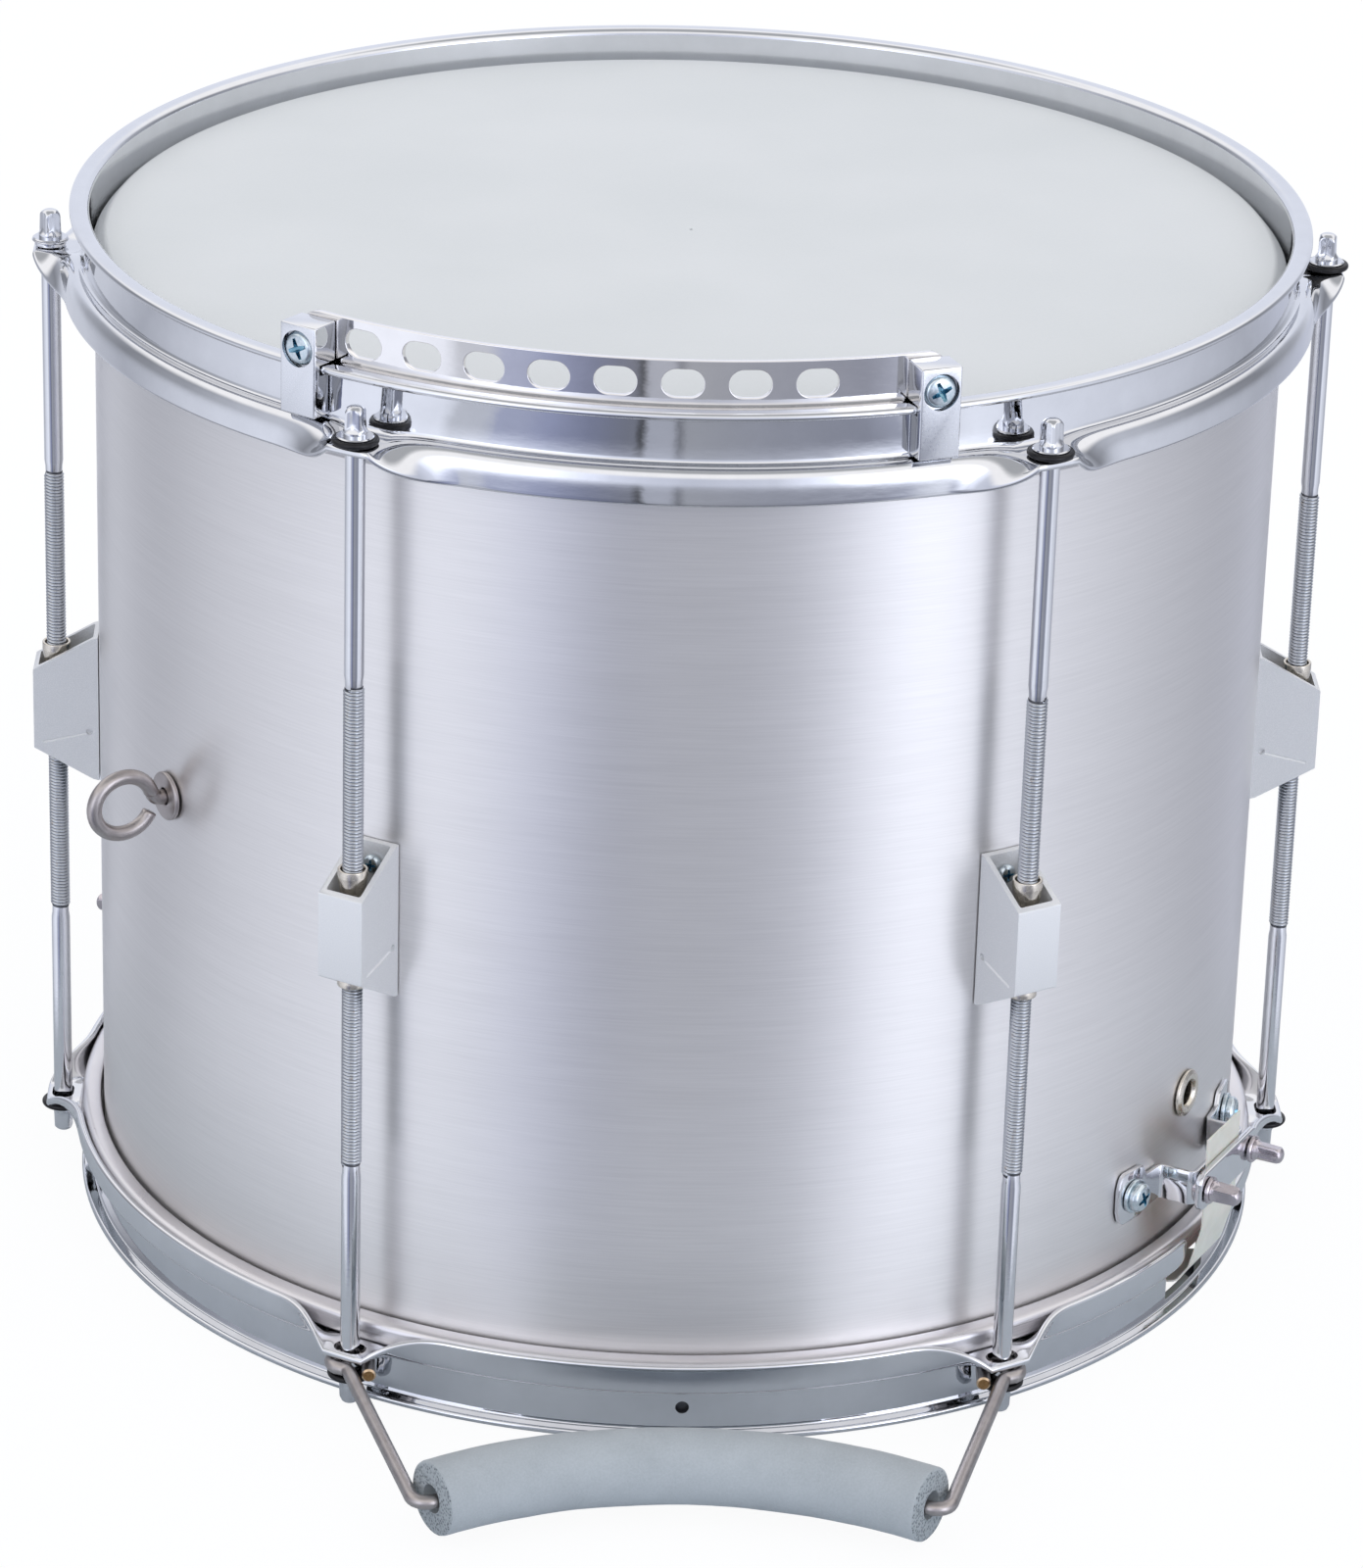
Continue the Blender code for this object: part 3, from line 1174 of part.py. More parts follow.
def add_foot_screws(prefix, drum, finishes, middle, length, height, plate, screw):
    """Two screws through a foot or a base plate into the shell."""
    for side, sign in (("left", -1), ("right", 1)):
        spot = at_angle(f"{prefix}_foot_{side}", middle + sign * arc_degrees(length), drum)
        place = (SHELL_RADIUS + 2 * GAP + plate, 0, height)
        add(f"{prefix}_foot_screw_{side}", screw, finishes["zinc"], spot, place)


def add_snares(drum, finishes):
    bar = bar_mesh()
    key_screw = key_screw_mesh()
    strap = strap_mesh()
    foot_screw = screw_mesh(
        FOOT_SCREW_RADIUS,
        FOOT_SCREW_INSIDE,
        FOOT_SCREW_WASHER_RADIUS,
        FOOT_SCREW_WASHER,
        FOOT_SCREW_HEAD_RADIUS,
        FOOT_SCREW_HEAD,
        "foot_screw",
    )
    butt = at_angle("butt", BUTT_ANGLE, drum)
    add("butt_bridge", bridge_mesh(), finishes["chrome"], butt)
    add_clamp("butt", butt, finishes, bar, key_screw, strap)
    feet = (BUTT_ANGLE, FOOT_CENTRE, FOOT_SCREW_HEIGHT, BRIDGE_SHEET)
    add_foot_screws("butt", drum, finishes, *feet, foot_screw)
    add("snare_wires", wires_mesh(), finishes["steel"], butt)
    strainer = at_angle("strainer", STRAINER_ANGLE, drum)
    add("strainer_bracket", bracket_mesh(), finishes["chrome"], strainer)
    add("strainer_slide", slide_mesh(), finishes["chrome"], strainer)
    add_clamp("strainer", strainer, finishes, bar, key_screw, strap)
    pivot = (LEVER_PIVOT_RADIUS, 0, LEVER_PIVOT_HEIGHT)
    add("strainer_lever", lever_mesh(), finishes["chrome"], strainer, pivot)
    knob_seat = (KNOB_CIRCLE, 0, BRACKET_HIGH + GAP)
    add("strainer_knob", knob_mesh(), finishes["nickel"], strainer, knob_seat)
    base = (STRAINER_ANGLE, BASE_SCREW_ARC, (BRACKET_LOW + BRACKET_HIGH) / 2, BRACKET_BASE)
    add_foot_screws("strainer", drum, finishes, *base, foot_screw)


def add_leg_rest(drum, finishes):
    add("leg_rest_wire", rest_curve(), finishes["steel"], drum)
    add("leg_rest_foam", foam_mesh(), finishes["foam"], drum)


def main():
    clear_scene()
    finishes = {
        "aluminium": material("brushed_aluminium", "b4b6b9", 0.32, 1),
        "film": material("coated_film", "dcdcd8", 0.5, 0),
        "clear_film": material("clear_film", "c9cbc8", 0.3, 0),
        "satin": material("satin_aluminium", "a9abad", 0.4, 1),
        "chrome": material("chrome", "d2d5d8", 0.08, 1),
        "silver_paint": material("silver_paint", "9b9c9e", 0.45, 0.6),
        "nickel": material("nickel", "c9c3b4", 0.22, 1),
        "zinc": material("zinc_plate", "aab0b8", 0.28, 1),
        "steel": material("stainless_steel", "bcbcba", 0.3, 1),
        "strap": material("snare_strap", "d8d3c0", 0.5, 0),
        "foam": material("grey_foam", "63676a", 0.9, 0),
    }
    drum = empty("drum", location=(0, 0, -HEAD_FACE))
    add_shell_and_heads(drum, finishes)
    add_tension(drum, finishes)
    add_plate(drum, finishes)
    add_eye_and_vent(drum, finishes)
    add_snares(drum, finishes)
    add_leg_rest(drum, finishes)


main()
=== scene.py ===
import json
import math

import bmesh
import bpy
from mathutils import Matrix, Vector, noise


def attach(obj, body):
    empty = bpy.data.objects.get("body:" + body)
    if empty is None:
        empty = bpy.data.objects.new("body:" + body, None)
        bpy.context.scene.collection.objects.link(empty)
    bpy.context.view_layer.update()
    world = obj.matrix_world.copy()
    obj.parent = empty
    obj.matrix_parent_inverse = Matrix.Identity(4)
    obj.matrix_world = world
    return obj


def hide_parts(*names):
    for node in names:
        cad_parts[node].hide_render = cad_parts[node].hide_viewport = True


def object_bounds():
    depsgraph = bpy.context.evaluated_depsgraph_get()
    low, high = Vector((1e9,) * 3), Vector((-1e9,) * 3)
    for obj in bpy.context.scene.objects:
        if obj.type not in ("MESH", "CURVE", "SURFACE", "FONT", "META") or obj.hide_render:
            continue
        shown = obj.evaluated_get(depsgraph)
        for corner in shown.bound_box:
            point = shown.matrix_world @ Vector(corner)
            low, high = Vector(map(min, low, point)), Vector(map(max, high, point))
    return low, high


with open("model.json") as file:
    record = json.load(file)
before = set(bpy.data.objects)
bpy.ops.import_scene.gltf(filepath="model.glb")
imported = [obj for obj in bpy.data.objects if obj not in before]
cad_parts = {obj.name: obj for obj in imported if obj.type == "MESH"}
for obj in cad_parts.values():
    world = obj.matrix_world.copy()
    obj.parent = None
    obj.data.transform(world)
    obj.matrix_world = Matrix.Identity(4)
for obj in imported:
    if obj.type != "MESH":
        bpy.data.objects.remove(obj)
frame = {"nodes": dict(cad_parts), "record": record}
cad_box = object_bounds()

MM = 0.001
# Height of the batter head's face, the frame's origin, above the standing rim. Heights below are
# measured from that rim, in millimetres, and angles in degrees from the front towards +X.
HEAD_FACE = 309.8
TOTAL_HEIGHT = 318.4
STATIONS = (-150, -90, -30, 30, 90, 150)
ROD_CIRCLE = 191.2
ROD_SEAT = 301.5
LUG_CENTRE = 153.7
BUTT_ANGLE = 60.5
STRAINER_ANGLE = -119.5
CLAMP_HEIGHT = 46.2


def linear(code):
    """A hex colour as linear light."""
    channels = []
    for start in (0, 2, 4):
        value = int(code[start:start + 2], 16) / 255
        channels.append(value / 12.92 if value <= 0.04045 else ((value + 0.055) / 1.055) ** 2.4)
    return (*channels, 1)


def node(tree, kind, inputs=None, **settings):
    """Adds a node with its settings, and gives each input its value or its link."""
    made = tree.nodes.new(kind)
    for name, value in settings.items():
        setattr(made, name, value)
    for name, value in (inputs or {}).items():
        if isinstance(value, bpy.types.NodeSocket):
            tree.links.new(value, made.inputs[name])
        else:
            made.inputs[name].default_value = value
    return made


def finish_of(name, **numbers):
    """A new material with its shader's plain numbers set on the shader's own sockets."""
    material = bpy.data.materials.new(name)
    material.use_nodes = True
    tree = material.node_tree
    tree.nodes.clear()
    shader = node(tree, "ShaderNodeBsdfPrincipled")
    for key, value in numbers.items():
        shader.inputs[key.replace("_", " ").title().replace("Ior", "IOR")].default_value = value
    node(tree, "ShaderNodeOutputMaterial", {"Surface": shader.outputs[0]})
    return material, tree, shader


def pattern(tree, spacing, detail=2.0, roughness=0.5):
    """Noise whose grains lie about `spacing` apart, in millimetres along X, Y and Z."""
    place = node(tree, "ShaderNodeTexCoord").outputs["Object"]
    scaled = node(
        tree, "ShaderNodeMapping",
        {"Vector": place, "Scale": tuple(1 / (MM * size) for size in spacing)},
    )
    grains = node(
        tree, "ShaderNodeTexNoise",
        {"Vector": scaled.outputs[0], "Scale": 1.0, "Detail": detail, "Roughness": roughness},
    )
    return grains.outputs["Fac"]


def ramp(tree, factor, stops):
    """A colour ramp over the factor, from pairs of position and colour."""
    made = node(tree, "ShaderNodeValToRGB", {"Fac": factor})
    elements = made.color_ramp.elements
    elements[0].position, elements[0].color = stops[0]
    elements[1].position, elements[1].color = stops[-1]
    for position, colour in stops[1:-1]:
        elements.new(position).color = colour
    return made.outputs["Color"]


def spread(tree, factor, low, high):
    """The factor's middle part stretched to run from low to high."""
    inputs = {"Value": factor, "From Min": 0.3, "From Max": 0.7, "To Min": low, "To Max": high}
    return node(tree, "ShaderNodeMapRange", inputs).outputs["Result"]


def relief(tree, shader, height, depth, strength=1.0):
    """A bump of this depth in millimetres."""
    bump = node(
        tree, "ShaderNodeBump",
        {"Height": height, "Distance": depth * MM, "Strength": strength},
    )
    tree.links.new(bump.outputs[0], shader.inputs["Normal"])


def brushed_aluminium():
    """Aluminium tube, brushed round with a belt. The fine level lines stretch each reflection
    upwards into a tall soft band. The lines of a 180 grit belt lie 0.1 mm apart, and are drawn
    0.5 mm apart so that they show."""
    material, tree, shader = finish_of("brushed_aluminium", metallic=1.0, anisotropic=0.72)
    fine = pattern(tree, (24, 24, 0.5), 3)
    broad = pattern(tree, (120, 120, 9), 2)
    both = node(tree, "ShaderNodeMix", {"Factor": 0.25, "A": fine, "B": broad}).outputs["Result"]
    stops = [(0.3, linear("e6e4e3")), (0.7, linear("eeeceb"))]
    tree.links.new(ramp(tree, both, stops), shader.inputs["Base Color"])
    tree.links.new(spread(tree, fine, 0.37, 0.39), shader.inputs["Roughness"])
    tangent = node(tree, "ShaderNodeTangent", direction_type="RADIAL", axis="Z")
    tree.links.new(tangent.outputs[0], shader.inputs["Tangent"])
    shader.inputs["Anisotropic Rotation"].default_value = 0.25
    relief(tree, shader, fine, 0.003)
    return material


def chrome(name="polished_chrome", colour="dadbde", roughness=0.03):
    """Steel sheet with polished chrome plate: a clear, slightly blue mirror with faint haze where
    it was handled, and with edges of reflections that waver along the rolling marks."""
    material, tree, shader = finish_of(name, metallic=1.0)
    haze = pattern(tree, (9, 9, 9), 4, 0.6)
    stops = [(0.35, linear(colour)), (0.75, [min(part * 1.06, 0.9) for part in linear(colour)])]
    tree.links.new(ramp(tree, haze, stops), shader.inputs["Base Color"])
    tree.links.new(spread(tree, haze, roughness, roughness + 0.03), shader.inputs["Roughness"])
    relief(tree, shader, pattern(tree, (6, 6, 2), 2), 0.016)
    return material


def coated_film():
    """Polyester film sprayed with a white matte coat. Its grit is 0.1 mm and is drawn at 0.5 mm."""
    material, tree, shader = finish_of("coated_film", roughness=0.55, ior=1.5)
    grit = pattern(tree, (0.5, 0.5, 0.5), 3, 0.6)
    cloud = pattern(tree, (60, 60, 60), 2)
    both = node(tree, "ShaderNodeMix", {"Factor": 0.6, "A": grit, "B": cloud}).outputs["Result"]
    stops = [(0.3, linear("dbdfe0")), (0.7, linear("e3e6e7"))]
    tree.links.new(ramp(tree, both, stops), shader.inputs["Base Color"])
    relief(tree, shader, grit, 0.03, 0.6)
    return material


def clear_film():
    """Thin polyester film, hazy and smooth."""
    material, tree, shader = finish_of("clear_film", roughness=0.22, ior=1.57)
    haze = pattern(tree, (35, 35, 35), 3)
    stops = [(0.3, linear("c9cacb")), (0.7, linear("d8d9da"))]
    tree.links.new(ramp(tree, haze, stops), shader.inputs["Base Color"])
    tree.links.new(spread(tree, haze, 0.18, 0.28), shader.inputs["Roughness"])
    return material


def satin_aluminium():
    """Drawn aluminium channel with a satin face. Draw lines run round it, 0.4 mm apart."""
    material, tree, shader = finish_of("satin_aluminium", metallic=1.0)
    lines = pattern(tree, (30, 30, 0.4), 2)
    stops = [(0.3, linear("d3d0d3")), (0.7, linear("e4e2e4"))]
    tree.links.new(ramp(tree, lines, stops), shader.inputs["Base Color"])
    tree.links.new(spread(tree, lines, 0.27, 0.36), shader.inputs["Roughness"])
    relief(tree, shader, lines, 0.01)
    return material


def silver_paint():
    """Die-cast zinc sprayed with metallic paint: fine flakes under a smooth, slightly wavy coat.
    The flakes are 0.04 mm and are drawn at 0.25 mm."""
    material, tree, shader = finish_of("silver_paint", metallic=0.4, coat_weight=0.25)
    shader.inputs["Coat Roughness"].default_value = 0.2
    flakes = pattern(tree, (0.25, 0.25, 0.25), 1, 0.3)
    stops = [(0.3, linear("dedfe0")), (0.55, linear("e3e4e5")), (0.75, linear("eeeeee"))]
    tree.links.new(ramp(tree, flakes, stops), shader.inputs["Base Color"])
    tree.links.new(spread(tree, flakes, 0.36, 0.46), shader.inputs["Roughness"])
    relief(tree, shader, pattern(tree, (1.6, 1.6, 1.6), 2), 0.02)
    return material


def plated(name, dark, light, roughness, grain=1.2):
    """Turned or drawn steel with a thin satin plate, a little cloudy from the bath."""
    material, tree, shader = finish_of(name, metallic=1.0)
    cloud = pattern(tree, (grain, grain, grain), 3, 0.6)
    tree.links.new(
        ramp(tree, cloud, [(0.3, linear(dark)), (0.7, linear(light))]), shader.inputs["Base Color"]
    )
    tree.links.new(
        spread(tree, cloud, roughness - 0.05, roughness + 0.06), shader.inputs["Roughness"]
    )
    relief(tree, shader, cloud, 0.01)
    return material


def drawn_wire():
    """Stainless wire, drawn through a die: brown grey and satin, a little streaky."""
    material, tree, shader = finish_of("drawn_stainless", metallic=1.0)
    cloud = pattern(tree, (4, 4, 4), 3, 0.6)
    stops = [(0.3, linear("aba4a2")), (0.7, linear("bab4b2"))]
    tree.links.new(ramp(tree, cloud, stops), shader.inputs["Base Color"])
    tree.links.new(spread(tree, cloud, 0.28, 0.38), shader.inputs["Roughness"])
    return material


def snare_film():
    """Cream polyester strip, cloudy and a little see-through, so light glows in it."""
    material, tree, shader = finish_of("snare_film", roughness=0.38, ior=1.57)
    shader.inputs["Subsurface Weight"].default_value = 0.15
    shader.inputs["Subsurface Scale"].default_value = 0.002
    cloud = pattern(tree, (7, 7, 7), 2)
    stops = [(0.3, linear("d9d9cd")), (0.7, linear("e5e4da"))]
    tree.links.new(ramp(tree, cloud, stops), shader.inputs["Base Color"])
    return material


def foam_rubber():
    """Closed cell rubber foam tube. The skin is smooth with faint pits, 0.6 mm cells show where it
    was cut."""
    material, tree, shader = finish_of("foam_rubber", roughness=0.82, sheen_weight=0.15)
    cells = pattern(tree, (0.6, 0.6, 0.6), 2, 0.5)
    cloud = pattern(tree, (12, 12, 12), 3)
    both = node(tree, "ShaderNodeMix", {"Factor": 0.5, "A": cells, "B": cloud}).outputs["Result"]
    stops = [(0.3, linear("a5acb0")), (0.7, linear("b5bcc0"))]
    tree.links.new(ramp(tree, both, stops), shader.inputs["Base Color"])
    relief(tree, shader, cells, 0.05, 0.6)
    return material


def cut_foam():
    """The same foam where a blade opened its cells. The middle of each open cell is painted dark, as the shade
    inside it.
    """
    material, tree, shader = finish_of("cut_foam", roughness=0.9)
    place = node(tree, "ShaderNodeTexCoord").outputs["Object"]
    cells = node(
        tree, "ShaderNodeTexVoronoi", {"Vector": place, "Scale": 1 / (0.9 * MM)}
    ).outputs["Distance"]
    # Painted shade: dark in each cell's middle, lighter towards its walls.
    stops = [(0.05, linear("565c60")), (0.4, linear("959ca0")), (0.6, linear("a9b0b4"))]
    tree.links.new(ramp(tree, cells, stops), shader.inputs["Base Color"])
    relief(tree, shader, cells, 0.25)
    return material


def black_nylon():
    """Moulded nylon washer, nearly black, with a soft shine."""
    material, tree, shader = finish_of("black_nylon", ior=1.4)
    grain = pattern(tree, (0.8, 0.8, 0.8), 2)
    stops = [(0.3, linear("100f12")), (0.7, linear("1a191c"))]
    tree.links.new(ramp(tree, grain, stops), shader.inputs["Base Color"])
    tree.links.new(spread(tree, grain, 0.32, 0.42), shader.inputs["Roughness"])
    return material


def threaded_chrome():
    """Rolled thread under chrome, with a trace of rust near the lug. Its roots are painted darker as shade, by a
    second finish given in rod_mesh.
    """
    material, tree, shader = finish_of("threaded_chrome", metallic=1.0)
    stain = pattern(tree, (2.2, 2.2, 3.5), 3, 0.7)
    stops = [(0.3, linear("b4b8bf")), (0.62, linear("bec2c8")), (0.78, linear("aaa097"))]
    tree.links.new(ramp(tree, stain, stops), shader.inputs["Base Color"])
    tree.links.new(spread(tree, stain, 0.16, 0.26), shader.inputs["Roughness"])
    return material


FINISHES = {
    "shell_aluminium": brushed_aluminium(),
    "coated_film": coated_film(),
    "clear_film": clear_film(),
    "satin_aluminium": satin_aluminium(),
    "chrome": chrome(),
    "silver_paint": silver_paint(),
    "nickel": plated("satin_nickel", "cfc8bc", "e2dbcf", 0.24),
    "zinc_plate": plated("blue_zinc", "bccbd2", "dde4e8", 0.2),
    "stainless_steel": drawn_wire(),
    "snare_strap": snare_film(),
    "grey_foam": foam_rubber(),
}
CUT_FOAM = cut_foam()
BLACK_NYLON = black_nylon()
THREAD = threaded_chrome()
# Painted shade: a dark grey finish for the thread's roots and the inside of the drain hole, where shade falls.
HOLLOW_SHADE = plated("painted_hollow_shade", "484a50", "6a6a6c", 0.35, 1.5)
POLISHED_STEEL = chrome("polished_steel", "ebe9e8", 0.045)
SATIN_CHROME = plated("satin_chrome", "dfe1e5", "e9eaed", 0.3, 0.8)
# Painted shade: a darker, bluer zinc for the faces inside a cross recess, where its walls shade each other.
RECESS_SHADE = plated("recess_painted_shade", "5f93aa", "97bdcb", 0.25, 0.8)
KEY_NICKEL = plated("key_nickel", "bcb4b8", "cbc4c8", 0.2, 5)
BRASS_EDGE = plated("brass_edge", "cdb08e", "dcc4a6", 0.3, 0.8)
BRASS_END = plated("brass_end", "8d6a43", "a9855c", 0.3, 0.8)


# Shapes. A form is a list of points in millimetres and a list of faces.


def at_angle(angle):
    """The local frame at an angle: X out of the shell, Y along it, Z up from the standing rim."""
    return Matrix.Translation((0, 0, -HEAD_FACE * MM)) @ Matrix.Rotation(
        math.radians(angle - 90), 4, "Z"
    )


def shift(x=0.0, y=0.0, z=0.0):
    return Matrix.Translation((x, y, z))


def turn(degrees, axis):
    return Matrix.Rotation(math.radians(degrees), 4, axis)


OUTWARDS = turn(90, "Y")


def moved(form, matrix):
    points, faces = form
    return [matrix @ Vector(point) for point in points], faces


def together(*forms):
    points, faces = [], []
    for more, loops in forms:
        start = len(points)
        points += list(more)
        faces += [[start + index for index in loop] for loop in loops]
    return points, faces


def rounded(corners, steps=4, closed=True):
    """An outline through corners (x, y) or (x, y, radius), each such corner rounded."""
    outline = []
    count = len(corners)
    for index, corner in enumerate(corners):
        here = Vector(corner[:2])
        radius = corner[2] if len(corner) > 2 else 0
        if not radius or (not closed and index in (0, count - 1)):
            outline.append(here)
            continue
        back = (Vector(corners[index - 1][:2]) - here).normalized()
        on = (Vector(corners[(index + 1) % count][:2]) - here).normalized()
        opening = back.angle(on)
        if opening > 3.13:
            outline += [here] * (steps + 1)
            continue
        centre = here + (back + on).normalized() * radius / math.sin(opening / 2)
        spoke = here + back * radius / math.tan(opening / 2) - centre
        sweep = (math.pi - opening) * (1 if back.x * on.y - back.y * on.x < 0 else -1)
        for step in range(steps + 1):
            outline.append(centre + Matrix.Rotation(sweep * step / steps, 2) @ spoke)
    return outline


def skin(sections, ring=False, closed=True, capped=True):
    """Faces between neighbouring sections of equal length."""
    count = len(sections[0])
    points = [Vector(point) for section in sections for point in section]
    faces = []
    for i in range(len(sections) if ring else len(sections) - 1):
        low = i * count
        high = (i + 1) % len(sections) * count
        for j in range(count if closed else count - 1):
            k = (j + 1) % count
            faces.append((low + j, low + k, high + k, high + j))
    if capped and not ring:
        faces.append(tuple(range(count))[::-1])
        faces.append(tuple(range(len(points) - count, len(points))))
    return points, faces


def circle(radius, height, sides):
    angles = [2 * math.pi * index / sides for index in range(sides)]
    return [(radius * math.cos(angle), radius * math.sin(angle), height) for angle in angles]


def spun(profile, sides=64):
    """A closed outline (r, z) spun round the Z axis."""
    sections = []
    for index in range(sides):
        angle = 2 * math.pi * index / sides
        sections.append([(r * math.cos(angle), r * math.sin(angle), z) for r, z in profile])
    return skin(sections, ring=True)


def turned(profile, sides=32):
    """A solid of circles (r, z) stacked along the Z axis, with flat ends."""
    return skin([circle(r, z, sides) for r, z in profile])


def slab(outline, low, high):
    """A flat outline in X and Y with a thickness along Z."""
    return skin([[(x, y, z) for x, y in outline] for z in (low, high)])


def box(x, y, z):
    return slab([(x[0], y[0]), (x[1], y[0]), (x[1], y[1]), (x[0], y[1])], *z)


def swept(path, radius, sides=16, rounded_ends=0.0):
    """A round wire along a path, with its ends chamfered."""
    path = [Vector(point) for point in path]
    sections = []
    along = (path[1] - path[0]).normalized()
    side = along.orthogonal().normalized()
    for index, point in enumerate(path):
        before = path[max(index - 1, 0)]
        after = path[min(index + 1, len(path) - 1)]
        forwards = (after - before).normalized()
        side = (side - forwards * side.dot(forwards)).normalized()
        other = forwards.cross(side)
        circles = [(point, radius)]
        if rounded_ends and index == 0:
            circles = [(point, radius - rounded_ends), (point + forwards * rounded_ends, radius)]
        if rounded_ends and index == len(path) - 1:
            circles = [(point - forwards * rounded_ends, radius), (point, radius - rounded_ends)]
        for centre, reach in circles:
            sections.append([
                centre + (side * math.cos(a) + other * math.sin(a)) * reach
                for a in (2 * math.pi * k / sides for k in range(sides))
            ])
    return skin(sections)


def mesh_of(name, form, sharp=40, bevel=0.0, shortest=0.0, steps=2):
    """A mesh in metres from a form, with its edges rounded where a bevel is given."""
    points, faces = form
    mesh = bpy.data.meshes.new(name)
    mesh.from_pydata([Vector(point) * MM for point in points], [], faces)
    return tidied(mesh, sharp, bevel, shortest, steps)


def tidied(mesh, sharp=40, bevel=0.0, shortest=0.0, steps=2):
    work = bmesh.new()
    work.from_mesh(mesh)
    bmesh.ops.remove_doubles(work, verts=work.verts, dist=2e-6)
    bmesh.ops.dissolve_degenerate(work, edges=work.edges, dist=1e-6)
    bmesh.ops.recalc_face_normals(work, faces=work.faces)
    if bevel:
        edges = [
            edge for edge in work.edges
            if len(edge.link_faces) == 2 and edge.calc_face_angle() > math.radians(38)
            and edge.calc_length() > shortest * MM
        ]
        bmesh.ops.bevel(
            work, geom=edges, offset=bevel * MM, segments=steps, profile=0.5,
            affect="EDGES", clamp_overlap=True,
        )
    work.to_mesh(mesh)
    work.free()
    mesh.shade_smooth()
    mesh.set_sharp_from_angle(angle=math.radians(sharp))
    return mesh


def combined(mesh, forms, material=None):
    """The mesh cut by the forms. The cut faces take the material, where one is given."""
    cutter = bpy.data.objects.new("cutter", mesh_of("cutter", together(*forms)))
    target = bpy.data.objects.new("target", mesh)
    for thing in (cutter, target):
        bpy.context.scene.collection.objects.link(thing)
    modifier = target.modifiers.new("cut", "BOOLEAN")
    modifier.operation = "DIFFERENCE"
    modifier.object = cutter
    modifier.solver = "EXACT"
    modifier.use_self = len(forms) > 1
    if material:
        cutter.data.materials.append(material)
        modifier.material_mode = "TRANSFER"
    made = bpy.data.meshes.new_from_object(target.evaluated_get(bpy.context.evaluated_depsgraph_get()))
    for thing in (cutter, target):
        bpy.data.objects.remove(thing)
    made.name = mesh.name
    return made


def true_round(mesh, within=14):
    """Shades the faces that lie round the drum's axis as the true cylinder they stand for."""
    normals = [corner.vector.copy() for corner in mesh.corner_normals]
    limit = math.cos(math.radians(within))
    for polygon in mesh.polygons:
        out = Vector((polygon.center.x, polygon.center.y, 0)).normalized()
        facing = polygon.normal.dot(out)
        if abs(facing) < limit:
            continue
        for corner in polygon.loop_indices:
            place = mesh.vertices[mesh.loops[corner].vertex_index].co
            normals[corner] = Vector((place.x, place.y, 0)).normalized() * math.copysign(1, facing)
    mesh.normals_split_custom_set(normals)
    return mesh


def piece(name, mesh, place, slot, body, *nodes, material=None):
    """Puts a piece in its place, gives it its finish and lets it ride on its body."""
    made = bpy.data.objects.new(name, mesh)
    bpy.context.scene.collection.objects.link(made)
    made.matrix_world = place
    if not mesh.materials:
        mesh.materials.append(material or FINISHES[slot])
    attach(made, body)
    if nodes:
        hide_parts(*nodes)
    return made


def paint_faces(mesh, material, chosen):
    """A second finish on the faces that the test chooses."""
    mesh.materials.append(material)
    for polygon in mesh.polygons:
        if chosen(polygon):
            polygon.material_index = len(mesh.materials) - 1


DRUM = at_angle(90)


# Shell and heads.


def radial(form, angle, across, height):
    """A form along Z set to point out of the shell at an angle, in the drum's own frame."""
    place = turn(angle - 90, "Z") @ shift(0, across, height) @ OUTWARDS
    return moved(form, place)


def bent(length):
    """The angle that a length along the shell covers."""
    return math.degrees(length / 177.8)


def make_shell():
    top = [(176.3, 304.2), (176.3, 305.2, 2), (171.2, 307.4, 1), (169.8, 306.7), (169.8, 308.2, 0.7),
           (173.0, 309.0, 1.5), (174.8, 309.2, 1.4), (177.8, 305.2, 2.5), (177.8, 300)]
    low = [(r, TOTAL_HEIGHT - z, *radius) for r, z, *radius in top[::-1]]
    mesh = mesh_of("shell", spun(rounded([*top, *low], 4), 240))
    holes = [radial(turned([(5.8, 165), (5.8, 190)], 24), 60, 0, 68.7)]
    holes.append(radial(turned([(2.6, 165), (2.6, 190)], 16), -58.5, 0, 163.1))
    for side in (-1, 1):
        foot = turned([(2.2, 165), (2.2, 190)], 12)
        holes.append(radial(foot, BUTT_ANGLE + side * bent(33.4), 0, 47.5))
        holes.append(radial(foot, STRAINER_ANGLE + side * bent(24), 0, 91))
    mesh = true_round(tidied(combined(mesh, holes)))
    piece("shell_tube", mesh, DRUM, "shell_aluminium", "drum", "shell")


